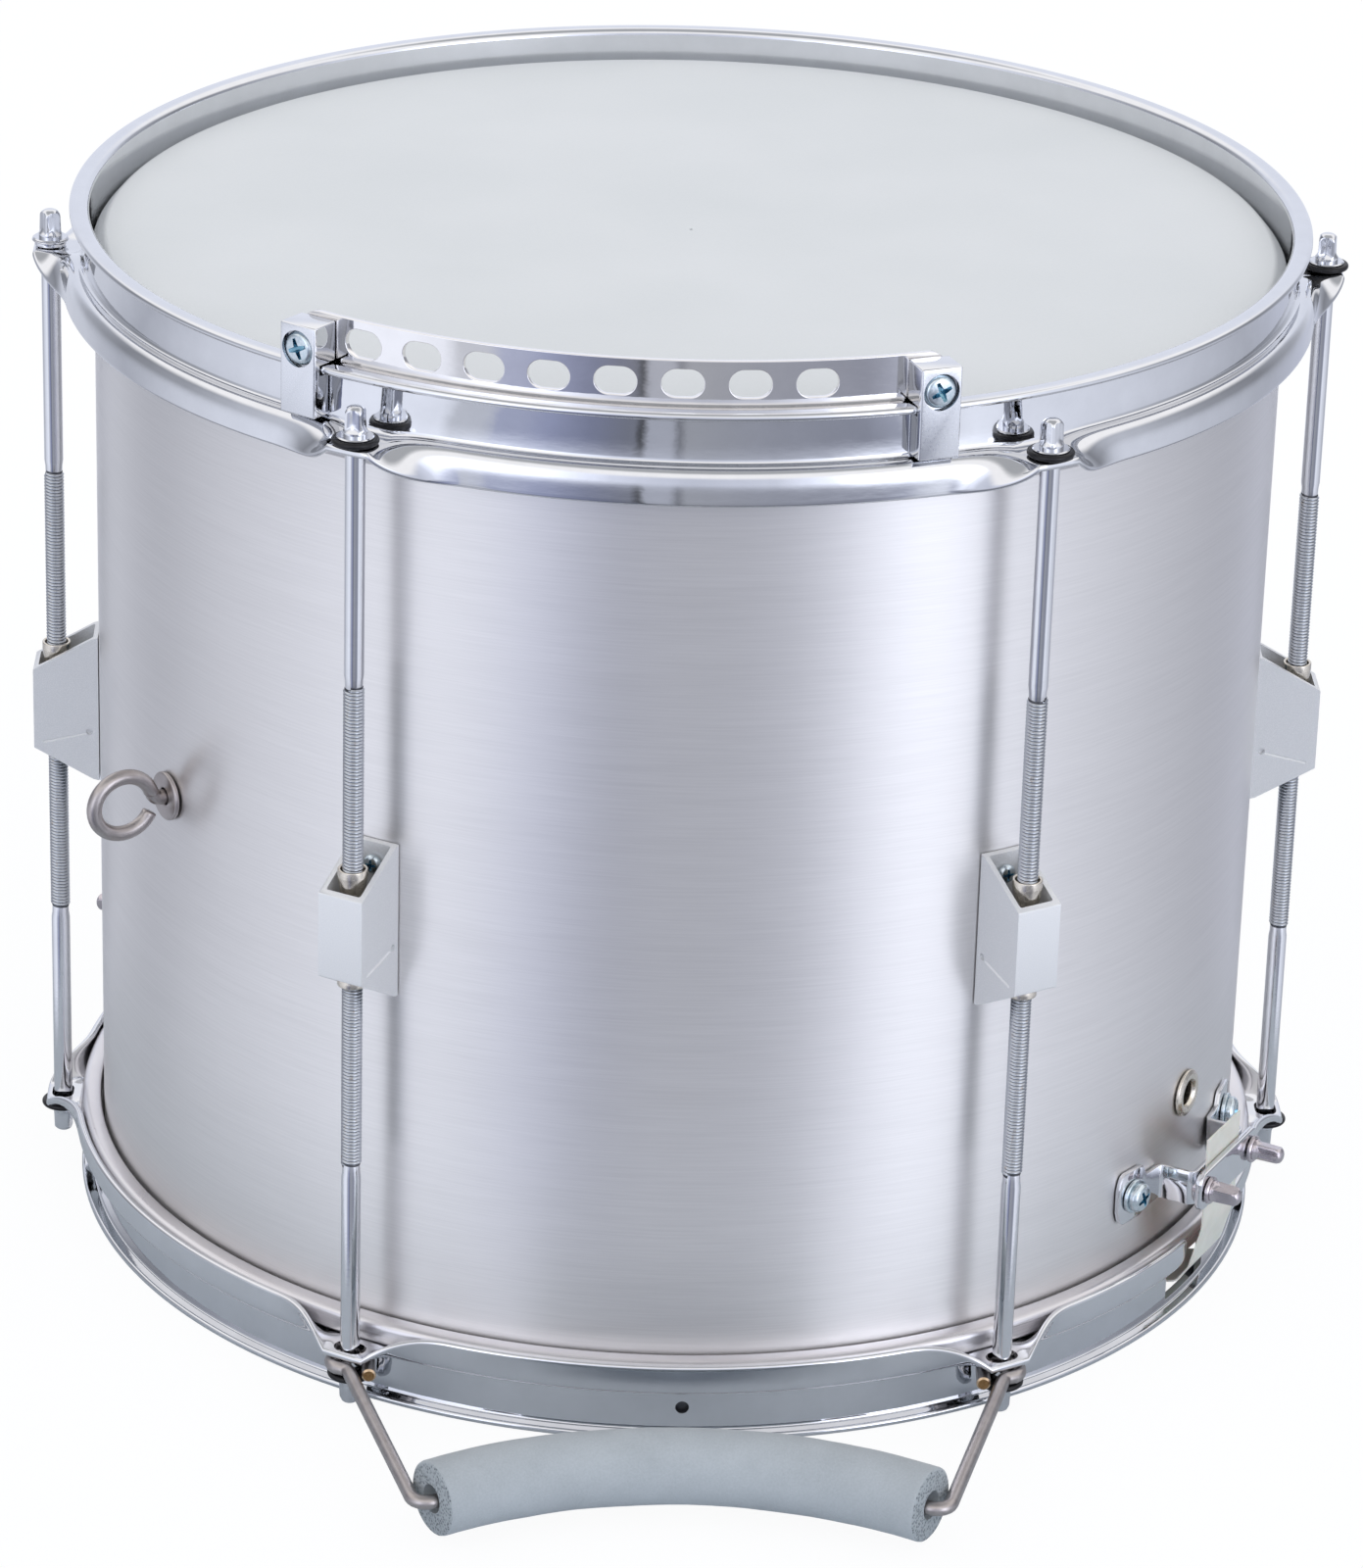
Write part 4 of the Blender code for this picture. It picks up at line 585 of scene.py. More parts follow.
def make_heads():
    film = [(0.5, 309.8), (60, 309.8), (120, 309.8), (168, 309.8)]
    edge = [(168, 309.8), (174.6, 309.8, 2.2), (178.4, 305.4, 2.5), (178.4, 299.4, 0.8),
            (181.5, 298.4, 0.6), (181.5, 294.8)]
    outer = film + [tuple(point) for point in rounded(edge, 5, closed=False)][1:]
    inner = [(r - 0.25 if z < 309 else r, z - (0.28 if z > 306 else 0.0)) for r, z in outer[::-1]]
    form = spun(outer + inner, 240)
    place = turn(180, "X") @ shift(0, 0, -TOTAL_HEIGHT)
    flesh = rounded([
        (178.8, 292.5, 0.8), (184.6, 292.5, 2.2), (184.6, 298.9, 1.2), (183.2, 300.3, 0.9),
        (182.0, 300.3, 0.3), (182.0, 294.5), (180.6, 294.5), (180.6, 297.5, 0.3), (178.8, 297.5, 0.5),
    ], 4)
    ring = spun(flesh, 240)
    for form_, name, slot in ((form, "head", "film"), (ring, "flesh_hoop", "")):
        for end, upper in (("batter", True), ("snare", False)):
            mesh = mesh_of(f"{end}_{name}", form_ if upper else moved(form_, place))
            finish = ("coated_film" if upper else "clear_film") if slot else "satin_aluminium"
            label = f"{end}_{'film' if slot else 'ring'}"
            piece(label, mesh, DRUM, finish, "drum", f"{end}_{name}")


# Hoops.

SHEET = 2.2
# An ear is flat up to the first angle from its rod, and ends in the plain skirt at the second.
EAR_FLAT, EAR_END = 1.9, 9.5


def ease(share):
    share = min(max(share, 0), 1)
    return share * share * (3 - 2 * share)


def bent_sheet(start, length, bend, steps=16):
    """The edge of a sheet that leaves flat and is bent down along a curve that eases out."""
    points, slopes = [Vector(start)], [0.0]
    for step in range(1, steps + 1):
        middle = (step - 0.5) / steps
        turned_so_far = bend * (1 - (1 - min(max((middle - 0.06) / 0.7, 0), 1)) ** 2.6)
        ahead = Vector((math.cos(turned_so_far), -math.sin(turned_so_far)))
        points.append(points[-1] + ahead * length / steps)
        slopes.append(turned_so_far)
    return points, slopes


def hoop_section(angle, away):
    """The hoop's section, `away` degrees from the nearest rod. The sheet is bent down into a
    rounded skirt between two rods, and less and less towards each rod, where it is a flat ear."""
    share = min(max((away - EAR_FLAT) / (EAR_END - EAR_FLAT), 0), 1)
    bend = math.radians(88) * (1 - (1 - share) ** 2.2)
    face = 301.2 + 1.6 * math.sin(bend)
    fillet = 2.3 - 0.9 * math.sin(bend)
    length = 14.8 - fillet - 0.5 * share - 0.5 * math.sin(2 * bend)
    points, slopes = bent_sheet((181.4 + fillet, face), length, bend)
    under = [
        point + SHEET * Vector((-math.sin(slope), -math.cos(slope)))
        for point, slope in zip(points, slopes)
    ]
    corners = [
        (179.0, 318.4, 2.0), (185.0, 318.4, 1.05), (185.0, 316.2, 1.05), (181.2, 316.2, 0.7),
        (181.2, face, fillet), *(tuple(point) for point in points[:-2]), (*points[-1], 0.95),
        (*under[-1], 0.95), *(tuple(point) for point in under[-3:1:-1]),
        (183.3, 300.6), (179.0, 300.6, 2.4),
    ]
    turned_by = math.radians(angle - 90)
    return [
        (r * math.cos(turned_by), r * math.sin(turned_by), z) for r, z in rounded(corners, 5)
    ]


def hoop_form():
    swing = EAR_END - EAR_FLAT
    near = [0, 0.6, 1.2, EAR_FLAT] + [EAR_FLAT + swing * step / 24 for step in range(1, 25)]
    offsets = near + [EAR_END + (30 - EAR_END) * step / 16 for step in range(1, 17)]
    sections = []
    for station in STATIONS:
        for away in [-degrees for degrees in offsets[:0:-1][1:]] + offsets:
            sections.append(hoop_section(station + away, abs(away)))
    return skin(sections, ring=True)


def stadium_round(half, radius, steps=12):
    """A slot's outline along Y."""
    ends = []
    for sign in (1, -1):
        for step in range(steps + 1):
            angle = math.pi * step / steps
            ends.append((sign * radius * math.cos(angle), sign * (half + radius * math.sin(angle))))
    return ends


def make_hoops():
    form = hoop_form()
    holes = [
        moved(turned([(3.6, 290), (3.6, 308)], 32), turn(station - 90, "Z") @ shift(ROD_CIRCLE))
        for station in STATIONS
    ]
    flip = shift(0, 0, TOTAL_HEIGHT) @ Matrix.Scale(-1, 4, (0, 0, 1))
    spot = radial(turned([(1.1, 180), (1.1, 200)], 20), -84.3, 0, 299.9)
    upper = tidied(combined(mesh_of("batter_hoop", form), [*holes, spot]))
    piece("batter_rim", upper, DRUM, "chrome", "drum", "batter_hoop")
    gates = [
        moved(box((176.8, 189.7), (-13.5, 13.5), (4.0, 28.2)), turn(angle - 90, "Z"))
        for angle in (BUTT_ANGLE, STRAINER_ANGLE)
    ]
    slots = [
        moved(slab(stadium_round(1.6, 3.4), 8, 30), turn(station - 90, "Z") @ shift(ROD_CIRCLE))
        for station in STATIONS
    ]
    # The drain hole in front is sunk almost through the wall, and its inside takes a dark finish as painted shade.
    drain = radial(turned([(2.0, 179.5), (2.0, 184)], 20), 0.5, 0, 9.6)
    lower = combined(mesh_of("snare_hoop", moved(form, flip)), slots + gates)
    lower.materials.append(FINISHES["chrome"])
    lower = tidied(combined(lower, [drain], HOLLOW_SHADE))
    piece("snare_rim", lower, DRUM, "chrome", "drum", "snare_hoop")


# Tension rods and lugs.


def square_reach(angle, half, corner):
    """How far a square with rounded corners reaches in one direction."""
    c, s = abs(math.cos(angle)), abs(math.sin(angle))
    if c < s:
        c, s = s, c
    reach = half / c
    inner = half - corner
    if reach * s > inner:
        along = inner * (c + s)
        reach = along + math.sqrt(max(along * along - 2 * inner * inner + corner * corner, 0))
    return reach


def key_head(low, high, collar, collar_top, half=2.45):
    """A square key that flares into its round collar, with its top turned to a dome."""
    sides = 48
    heights = [collar_top + (low + 3.4 - collar_top) * ease(k / 9) for k in range(10)]
    heights += [low + 3.4 + (high - 3.0 - low - 3.4) * k / 2 for k in (1, 2)]
    heights += [high - 3.0 + 3.0 * math.sin(math.pi / 2 * k / 10) for k in range(1, 11)]
    sections = [circle(collar - 0.3, low, sides), circle(collar, low + 0.3, sides)]
    sections.append(circle(collar, collar_top - 0.35, sides))
    sections.append(circle(collar - 0.35, collar_top, sides))
    for height in heights:
        share = min(1, (height - collar_top) / (low + 4.4 - collar_top))
        flare = half + (collar - 0.5 - half) * (1 - share) ** 2.2
        width = half * (1.05 - 0.09 * (height - low) / (high - low))
        to_top = max(0, height - (high - 3.0)) / 3.0
        dome = half * 1.42 * math.sqrt(max(1 - (0.9 * to_top) ** 2.2, 0))
        section = []
        for k in range(sides):
            angle = 2 * math.pi * k / sides
            reach = min(max(square_reach(angle, width, 0.5), flare), dome)
            section.append((reach * math.cos(angle), reach * math.sin(angle), height))
        sections.append(section)
    sections.append(circle(half * 0.3, high + 0.12, sides))
    return skin(sections)


THREAD_PITCH = 1.05
THREAD_DEPTH = 0.45


def threaded(top, bottom, radius):
    """A helical thread going down from top to bottom: broad crests with narrow roots between."""
    sides = 24
    shape = (0.0, 0.0, 0.35, 1.0, 1.0, 0.35)
    steps = len(shape)
    rows = int((top - bottom) / THREAD_PITCH * steps)
    points, faces = [], []
    for i in range(rows + 1):
        fade = min(1, i / steps, (rows - i) / steps)
        for j in range(sides):
            height = top - THREAD_PITCH * (i / steps + j / sides)
            reach = radius - THREAD_DEPTH * (1 - fade * (1 - shape[i % steps]))
            angle = 2 * math.pi * j / sides
            points.append((reach * math.cos(angle), reach * math.sin(angle), height))
    for i in range(rows):
        for j in range(sides):
            k = (j + 1) % sides
            step = steps if k == 0 else 0
            if i + 1 + step > rows:
                continue
            faces.append((
                i * sides + j, (i + 1) * sides + j, (i + 1 + step) * sides + k, (i + step) * sides + k,
            ))
    return points, faces


def rod_mesh(name, length, plain):
    """A tension rod standing on its washer's seat at height zero."""
    shank = turned(
        [(2.2, -length), (2.3, -length + 0.4), (2.3, -plain - 1.5), (2.55, -plain - 0.4), (2.6, -plain + 1.6),
         (2.86, -plain + 3.4), (2.86, 1.9)], 24,
    )
    head = key_head(1.8, 10.7, 5.3, 2.4)
    mesh = mesh_of(name, together(shank, head), 34)
    mesh.materials.append(FINISHES["chrome"])
    thread = mesh_of(name + "_thread", threaded(-plain + 0.2, -length + 0.3, 3.02), 60)
    thread.materials.append(THREAD)
    # Painted shade: the faces deep in the thread's roots take the dark finish.
    root = (3.02 - 0.8 * THREAD_DEPTH) * MM
    paint_faces(thread, HOLLOW_SHADE, lambda p: math.hypot(p.center.x, p.center.y) < root)
    return mesh, thread


def make_rods():
    washer = mesh_of("rod_washer", spun(rounded([
        (3.1, 0.0), (6.7, 0.0, 0.85), (6.7, 1.8, 0.85), (3.1, 1.8)], 6), 48))
    washer.materials.append(BLACK_NYLON)
    steel_washer = mesh_of("steel_washer", spun(rounded([
        (3.1, 0.02), (4.7, 0.02, 0.2), (4.7, 1.1), (4.3, 1.3), (5.6, 1.5, 0.15), (5.4, 1.85, 0.15),
        (3.1, 1.85)], 4), 48))
    upper = rod_mesh("batter_rod", 146.5, 72.0)
    lower = rod_mesh("snare_rod", 133.5, 66.8)
    # How far each key is turned. It shows, and the real ones stand as they were tightened.
    twists = {"batter": (25, 32, 12, 17, 74, 8), "snare": (40, 15, 30, 62, 5, 20)}
    for number, angle in enumerate(STATIONS, 1):
        station = at_angle(angle)
        seat = 12.4 if abs(angle) == 30 else 16.9
        ends = (
            ("batter", upper, shift(ROD_CIRCLE * MM, 0, ROD_SEAT * MM)),
            ("snare", lower, shift(ROD_CIRCLE * MM, 0, seat * MM) @ turn(180, "X")),
        )
        for end, (rod, thread), local in ends:
            body = f"{end}_rod_{number}"
            place = station @ local @ turn(twists[end][number - 1], "Z")
            piece(f"{end}_tension_rod_{number}", rod, place, "chrome", body, body)
            piece(f"{end}_thread_{number}", thread, place, "chrome", body)
            if (end, number) == ("batter", 2):
                piece("steel_washer", steel_washer, place, "chrome", body)
            else:
                piece(f"{end}_washer_{number}", washer, place, None, body)


def cross_recess(radius, depth, arm):
    """The cutter for a cross recess going down from height zero: four arms that narrow with depth."""
    sections = []
    for height, share in ((1.5, 1.0), (0, 1.0), (-depth * 0.55, 0.72), (-depth, 0.35)):
        reach = radius * share
        half = arm * (0.6 + 0.4 * share)
        plus = []
        for quarter in range(4):
            spin = Matrix.Rotation(math.radians(90 * quarter), 2)
            for x, y in ((reach, -half * 0.75), (reach, half * 0.75), (half * 1.2, half * 1.2)):
                plus.append(spin @ Vector((x, y)))
        sections.append([(x, y, height) for x, y in plus])
    return skin(sections)


def screw_mesh(name, head, height, shank, length, washer=0.0, washer_height=0.0, dome=0.45):
    """A pan head screw along Z with its seat at zero, cross recess and optional washer."""
    w = washer_height
    top = w + height
    profile = [(shank, -length), (shank, w)]
    profile += [tuple(p) for p in rounded([
        (head - 0.4, w), (head, w, 0.3), (head * 1.0, top - height * dome, head * 0.16),
        (head * 0.8, top - 0.25, head * 0.25), (head * 0.3, top), (0.2, top + 0.02)], 4, closed=False)]
    mesh = mesh_of(name, turned(profile, 40), 30)
    mesh.materials.append(FINISHES["zinc_plate"])
    cutter = cross_recess(head * 0.62, height * 0.75, head * 0.13)
    # The recess's cut faces take the painted shade finish.
    mesh = tidied(combined(mesh, [moved(cutter, shift(0, 0, top - 0.1))], RECESS_SHADE), 30)
    if washer:
        ring = mesh_of(name + "_washer", spun(rounded([
            (shank + 0.3, 0), (washer, 0, 0.3), (washer, w - 0.05, 0.4), (shank + 0.3, w - 0.05)], 3), 40))
        return mesh, ring
    return mesh, None


def make_lugs():
    outline = [(178.1, -23.7), (180.0, -23.2, 0.5), (198.0, -12.95, 0.5), (198.0, 12.95, 0.5),
               (180.0, 23.2, 0.5), (178.1, 23.7)]
    side = moved(slab(rounded(outline, 3), -7.2, 7.2), shift(0, 0, LUG_CENTRE) @ turn(90, "X"))
    body = mesh_of("lug", side, 30, 0.5, 6, 3)
    shelf = LUG_CENTRE - 8.5
    inside = [(-5.6, 179.6), (-5.6, 196.4), (5.6, 196.4), (5.6, 179.6)]
    plan = rounded([(x, y, 0.6) for y, x in inside], 3)
    cutters = [
        slab(plan, shelf + 1, LUG_CENTRE + 30),
        slab(plan, LUG_CENTRE - 30, shelf - 1),
        moved(turned([(4.0, shelf - 3), (4.0, shelf + 3)], 24), shift(ROD_CIRCLE)),
    ]
    # A shallow sloping groove and a blind hole mark the screw inside, on both sides.
    groove = skin([[(x, -0.05, 6.75), (x, -0.75, 7.4), (x, 0.55, 7.4)] for x in (-6.6, 6.6)])
    for sign in (-1, 1):
        place = shift(188.6, 0, 144.2) @ turn(180 if sign < 0 else 0, "X") @ turn(-90, "X")
        cutters.append(moved(groove, place @ turn(13 * sign, "Z")))
        cutters.append(moved(turned([(0.9, 6.0), (1.2, 8)], 20), shift(-7.6, 0, 2.0) @ place))
    lug = tidied(combined(body, cutters), 34)
    bush = mesh_of("lug_bush", spun(rounded([
        (3.1, -16.6, 0.4), (4.35, -16.6, 0.4), (4.35, -15.2, 0.5), (3.75, -10.5, 2), (3.75, 13.2, 2),
        (4.35, 17.6, 0.5), (4.35, 19.8, 0.3), (3.5, 19.8, 0.4)], 4), 40), 30)
    screw, _ = screw_mesh("lug_screw", 2.8, 1.9, 1.5, 6.5)
    for number, angle in enumerate(STATIONS, 1):
        station = at_angle(angle)
        piece(f"tension_lug_{number}", lug, station, "silver_paint", "drum", f"lug_{number}")
        piece(f"threaded_bush_{number}", bush, station @ shift(ROD_CIRCLE * MM, 0, LUG_CENTRE * MM),
              "nickel", "drum", f"lug_bush_{number}")
        for row, height in (("upper", 170.7), ("lower", 136.8)):
            local = shift(180.0 * MM, 0, height * MM) @ OUTWARDS
            piece(f"lug_screw_{row}_{number}", screw, station @ local, "zinc_plate", "drum")


# Slotted plate and its clamps.

PLATE_LOW, PLATE_HIGH = 312.0, 331.5
SLOT_HEIGHT = 324.9


def plate_cell(first, last, corners):
    """One stretch of the plate round a slot, or round a bolt hole, between two angles. Rings of
    points lead from the hole's outline to the cell's own."""
    middle = (first + last) / 2
    reach = (last - first) / 2 * math.pi / 180 * 178.3
    hole, rim = corners
    angles = [2 * math.pi * (k + 0.5) / 64 for k in range(64)]
    for up in (PLATE_HIGH - SLOT_HEIGHT, PLATE_LOW - SLOT_HEIGHT):
        angles += [math.atan2(up, side * reach) % (2 * math.pi) for side in (-1, 1)]
    rings = []
    for share in (0, 0.08, 0.3, 0.62, 1.0):
        ring = []
        for angle in sorted(angles):
            inner = hole(angle)
            outer = rim(angle, reach)
            ring.append(inner.lerp(outer, share))
        rings.append(ring)
    return middle, rings


def stadium(angle):
    """The slot's outline, from its middle."""
    ray = Vector((math.cos(angle), math.sin(angle)))
    half, radius = 1.8, 4.1
    if abs(ray.y) > 1e-9 and abs(ray.x / ray.y) * radius <= half:
        return ray * radius / abs(ray.y) + Vector((0, SLOT_HEIGHT))
    c = half * abs(ray.x)
    reach = c + math.sqrt(c * c - half * half + radius * radius)
    return ray * reach + Vector((0, SLOT_HEIGHT))


def plate_rim(corner_side):
    """The cell's outline, with the plate's round corners on one side or on neither."""
    def outline(angle, reach):
        ray = Vector((math.cos(angle), math.sin(angle)))
        up = (PLATE_HIGH if ray.y > 0 else PLATE_LOW) - SLOT_HEIGHT
        along = min(reach / max(abs(ray.x), 1e-9), up / ray.y if abs(ray.y) > 1e-9 else 1e9)
        spot = ray * along
        if corner_side and spot.x * corner_side > reach - 6:
            centre_y = up - math.copysign(6, up)
            if abs(spot.y) > abs(centre_y):
                inside = Vector(((reach - 6) * corner_side, centre_y))
                away = ray * ray.dot(inside)
                gap = math.sqrt(max(36 - (inside - away).length_squared, 0))
                spot = ray * (ray.dot(inside) + gap)
        return spot + Vector((0, SLOT_HEIGHT))
    return outline


def make_plate():
    centres = [-31.8 + 5.94 * k for k in range(8)]
    cells = [(centre - 2.97, centre + 2.97, stadium, 0) for centre in centres]
    work = bmesh.new()
    for first, last, hole, side in cells:
        middle, rings = plate_cell(first, last, (hole, plate_rim(side)))
        add_plate_rings(work, middle, rings)
    for first, last, side in ((-38.6, -34.77, -1), (12.75, 21.85, 1)):
        add_plate_end(work, first, last, side)
    mesh = bpy.data.meshes.new("accessory_plate")
    work.to_mesh(mesh)
    work.free()
    mesh = tidied(mesh, 35, 0.45, 0, 3)
    piece("slotted_plate", true_round(mesh), DRUM, "chrome", "drum", "accessory_plate",
          material=POLISHED_STEEL)


def on_plate(radius, middle, spot):
    angle = math.radians(middle - 90) + spot.x / 178.3
    return Vector((radius * math.cos(angle), radius * math.sin(angle), spot.y)) * MM


def add_plate_rings(work, middle, rings):
    """Front, back and slot wall of one cell, and its part of the plate's edges."""
    count = len(rings[0])
    sheets = []
    for radius in (178.3, 176.5):
        sheets.append([[work.verts.new(on_plate(radius, middle, spot)) for spot in ring] for ring in rings])
    for flip, sheet in enumerate(sheets):
        for near, far in zip(sheet, sheet[1:]):
            for k in range(count):
                j = (k + 1) % count
                loop = (near[k], near[j], far[j], far[k])
                work.faces.new(loop if flip else loop[::-1])
    for k in range(count):
        j = (k + 1) % count
        work.faces.new((sheets[0][0][k], sheets[0][0][j], sheets[1][0][j], sheets[1][0][k]))
        spots = rings[-1][k], rings[-1][j]
        if all(abs(spot.y - PLATE_HIGH) < 1e-6 or abs(spot.y - PLATE_LOW) < 1e-6 for spot in spots):
            if abs(spots[0].y - spots[1].y) < 1e-6:
                work.faces.new((sheets[0][-1][j], sheets[0][-1][k], sheets[1][-1][k], sheets[1][-1][j]))


def add_plate_end(work, first, last, side):
    """A plain end of the plate, with two round corners."""
    columns = []
    reach = math.radians(last - first) * 178.3
    steps = [0, 0.4, 1.0, 1.8, 2.8, 4.2, 6.0]
    steps = [step for step in steps if step < reach]
    spots = sorted({*steps, *(6 + (reach - 6) * k / 6 for k in range(7) if reach > 6), reach})
    for spot in spots:
        cut = 6 - math.sqrt(36 - (6 - min(spot, 6)) ** 2)
        x = spot if side < 0 else reach - spot
        columns.append((x, PLATE_LOW + cut, PLATE_HIGH - cut))
    columns.sort()
    rows = []
    for x, low, high in columns:
        heights = [low + (high - low) * k / 6 for k in range(7)]
        row = []
        for radius in (178.3, 176.5):
            row.append([work.verts.new(on_plate(radius, first, Vector((x, z)))) for z in heights])
        rows.append(row)
    for here, there in zip(rows, rows[1:]):
        for k in range(6):
            work.faces.new((here[0][k], there[0][k], there[0][k + 1], here[0][k + 1]))
            work.faces.new((here[1][k], here[1][k + 1], there[1][k + 1], there[1][k]))
        work.faces.new((here[0][0], here[1][0], there[1][0], there[0][0]))
        work.faces.new((here[0][-1], there[0][-1], there[1][-1], here[1][-1]))
    tip = rows[0] if side < 0 else rows[-1]
    for k in range(6):
        work.faces.new((tip[0][k], tip[0][k + 1], tip[1][k + 1], tip[1][k]))


def make_clamps():
    outline = [(178.6, 330.2), (188.0, 330.2), (188.0, 303.8), (181.5, 303.8), (181.5, 315.9),
               (185.3, 315.9), (185.3, 318.7), (178.6, 318.7)]
    upright = turn(90, "X")
    body = mesh_of("clamp_block", moved(slab(outline, -6, 6), upright), 30, 0.5, 0, 3)
    recess = turned([(5.3, 185.8), (5.3, 190)], 48)
    hole = turned([(2.7, 178), (2.7, 187)], 24)
    body = combined(body, [moved(recess, shift(0, 0, 323.2) @ OUTWARDS),
                           moved(hole, shift(0, 0, 323.2) @ OUTWARDS)])
    body = tidied(body, 30)
    body.materials.append(FINISHES["chrome"])
    paint_faces(body, SATIN_CHROME, lambda p: p.normal.x > 0.75 and p.center.x > 187 * MM)
    screw, _ = screw_mesh("clamp_screw", 5.0, 2.4, 2.3, 14.8, dome=0.75)
    nut = mesh_of("clamp_nut", spun_nut(3.9, 3.2, 2.3), 30, 0.25, 1.2, 2)
    for side, angle, twist in (("left", -36.6, 22), ("right", 19.9, 24)):
        station = at_angle(angle)
        piece(f"clamp_{side}", body, station, "chrome", "drum", f"clamp_block_{side}")
        local = shift(185.9 * MM, 0, 323.2 * MM) @ OUTWARDS @ turn(twist, "Z")
        piece(f"clamp_bolt_{side}", screw, station @ local, "zinc_plate", "drum", f"clamp_screw_{side}")
        local = shift(172.8 * MM, 0, 323.2 * MM) @ OUTWARDS
        piece(f"clamp_nut_{side}", nut, station @ local, "zinc_plate", "drum")


def spun_nut(flat, height, bore):
    """A hexagon nut with a bore, its seat at zero."""
    outer = [(flat / math.cos(math.pi / 6) * math.cos(math.radians(60 * k + 30)),
              flat / math.cos(math.pi / 6) * math.sin(math.radians(60 * k + 30))) for k in range(6)]
    sides = 30
    sections = []
    for radius, z, hexagon in ((0, 0, True), (0, height, True), (bore, height, False), (bore, 0, False)):
        section = []
        for k in range(sides):
            if hexagon:
                a, b = Vector(outer[k // 5]), Vector(outer[(k // 5 + 1) % 6])
                spot = a.lerp(b, (k % 5) / 5)
                section.append((spot.x, spot.y, z))
            else:
                angle = math.radians(30) + 2 * math.pi * k / sides
                section.append((radius * math.cos(angle), radius * math.sin(angle), z))
        sections.append(section)
    return skin(sections, ring=True)


# Sling eye and vent.


def arc(centre, radius, first, last, steps):
    points = []
    for step in range(steps + 1):
        angle = math.radians(first + (last - first) * step / steps)
        points.append(Vector(centre) + radius * Vector((math.cos(angle), math.sin(angle))))
    return points


def make_eye():
    left, inside, neck = 183.4, 168.8, 2.6
    route = [tuple(p) for p in rounded([(inside, 0), (left, 0, neck), (left, 8)], 6, closed=False)][:-1]
    for point in arc((0, 0), 8.85, 180, 25 - 180, 44)[1:]:
        route.append((left + 1.08 * (8.85 + point.x), point.y))
    path = [(x, 0, z + 163.1) for x, z in route]
    station = at_angle(-58.5)
    eye = mesh_of("eye_bolt", swept(path, 2.25, 20, 0.3), 50)
    piece("sling_eye", eye, station, "stainless_steel", "drum", "eye_bolt")
    washer = mesh_of("eye_washer", spun(rounded([
        (2.6, 0), (7.4, 0, 0.5), (7.4, 1.5, 0.6), (2.6, 1.5, 0.4)], 4), 48))
    piece("eye_plate", washer, station @ shift(178.1 * MM, 0, 163.1 * MM) @ OUTWARDS,
          "stainless_steel", "drum", "eye_washer")
    nut = mesh_of("eye_nut", spun_nut(3.9, 3.4, 2.35), 30, 0.25, 1.2, 2)
    piece("eye_nut", nut, station @ shift(172.6 * MM, 0, 163.1 * MM) @ OUTWARDS, "zinc_plate", "drum")


def make_vent():
    profile = rounded([
        (3.75, 174.8, 0.3), (6.6, 174.8, 0.3), (6.6, 175.6, 0.3), (5.4, 175.7), (5.4, 178.0),
        (7.5, 178.05, 0.4), (7.4, 178.9, 0.5), (6.1, 179.5, 0.7), (4.6, 179.45, 0.8), (3.75, 178.4, 0.6),
    ], 4)
    mesh = mesh_of("vent_grommet", moved(spun(profile, 48), shift(0, 0, 68.7) @ OUTWARDS), 50)
    piece("air_vent", mesh, at_angle(60), "nickel", "drum", "vent_grommet")


# Snare butt, straps and wires.


def bridge_form():
    """A strip bent from one foot over the raised front to the other foot."""
    back, front, side = 178.85, 189.25, 17.75
    half = [
        (40.4, 44.0, 51.0), (39.8, 41.6, 53.4), (38.9, 39.7, 55.3), (37.6, 39.05, 55.95),
        (33.0, 39.0, 56.0), (29.2, 39.05, 55.95), (28.0, 39.6, 54.9), (27.0, 40.4, 52.6), (26.2, 40.7, 51.8),
        (23.5, 40.7, 51.7),
    ]
    path = []
    for length, low, high in half:
        angle = length / 177.8
        path.append((back * math.cos(angle), back * math.sin(angle), low, high))
    corner = (math.sqrt(back ** 2 - side ** 2), side)
    bends = rounded([path[-1][:2], (*corner, 1.8), (front, side, 1.9), (front, 0)], 5, closed=False)
    path += [(x, y, 40.7, 51.7) for x, y in bends[1:]]
    path += [(x, -y, low, high) for x, y, low, high in path[-2::-1]]
    sections = []
    for index, (x, y, low, high) in enumerate(path):
        before = Vector(path[max(index - 1, 0)][:2])
        after = Vector(path[min(index + 1, len(path) - 1)][:2])
        along = (after - before).normalized()
        away = Vector((-along.y, along.x)) * 0.75
        sections.append([
            (x + away.x, y + away.y, low), (x + away.x, y + away.y, high),
            (x - away.x, y - away.y, high), (x - away.x, y - away.y, low),
        ])
    return skin(sections)


def strap_form():
    """The strap hangs from its clamp, passes the gate under the flesh hoop and turns in."""
    path = rounded([
        (190.55, 60.2), (190.55, 30.0, 12), (187.0, 16.1, 5), (183.1, 10.35, 4), (174.3, 8.05, 12), (152.0, 8.05),
    ], 6, closed=False)
    sides = []
    for index, point in enumerate(path):
        along = (path[min(index + 1, len(path) - 1)] - path[max(index - 1, 0)]).normalized()
        away = Vector((-along.y, along.x)) * 0.25
        sides.append((point + away, point - away))
    sections = []
    for one, other in sides:
        sections.append([(one.x, -12, one.y), (one.x, 12, one.y), (other.x, 12, other.y), (other.x, -12, other.y)])
    return skin(sections)


def key_screw_mesh():
    head = key_head(0.0, 10.3, 4.2, 1.4, 2.3)
    shank = turned([(1.6, -9), (2.0, -8.6), (2.0, 0.1)], 20)
    return mesh_of("key_screw", together(head, shank), 34)


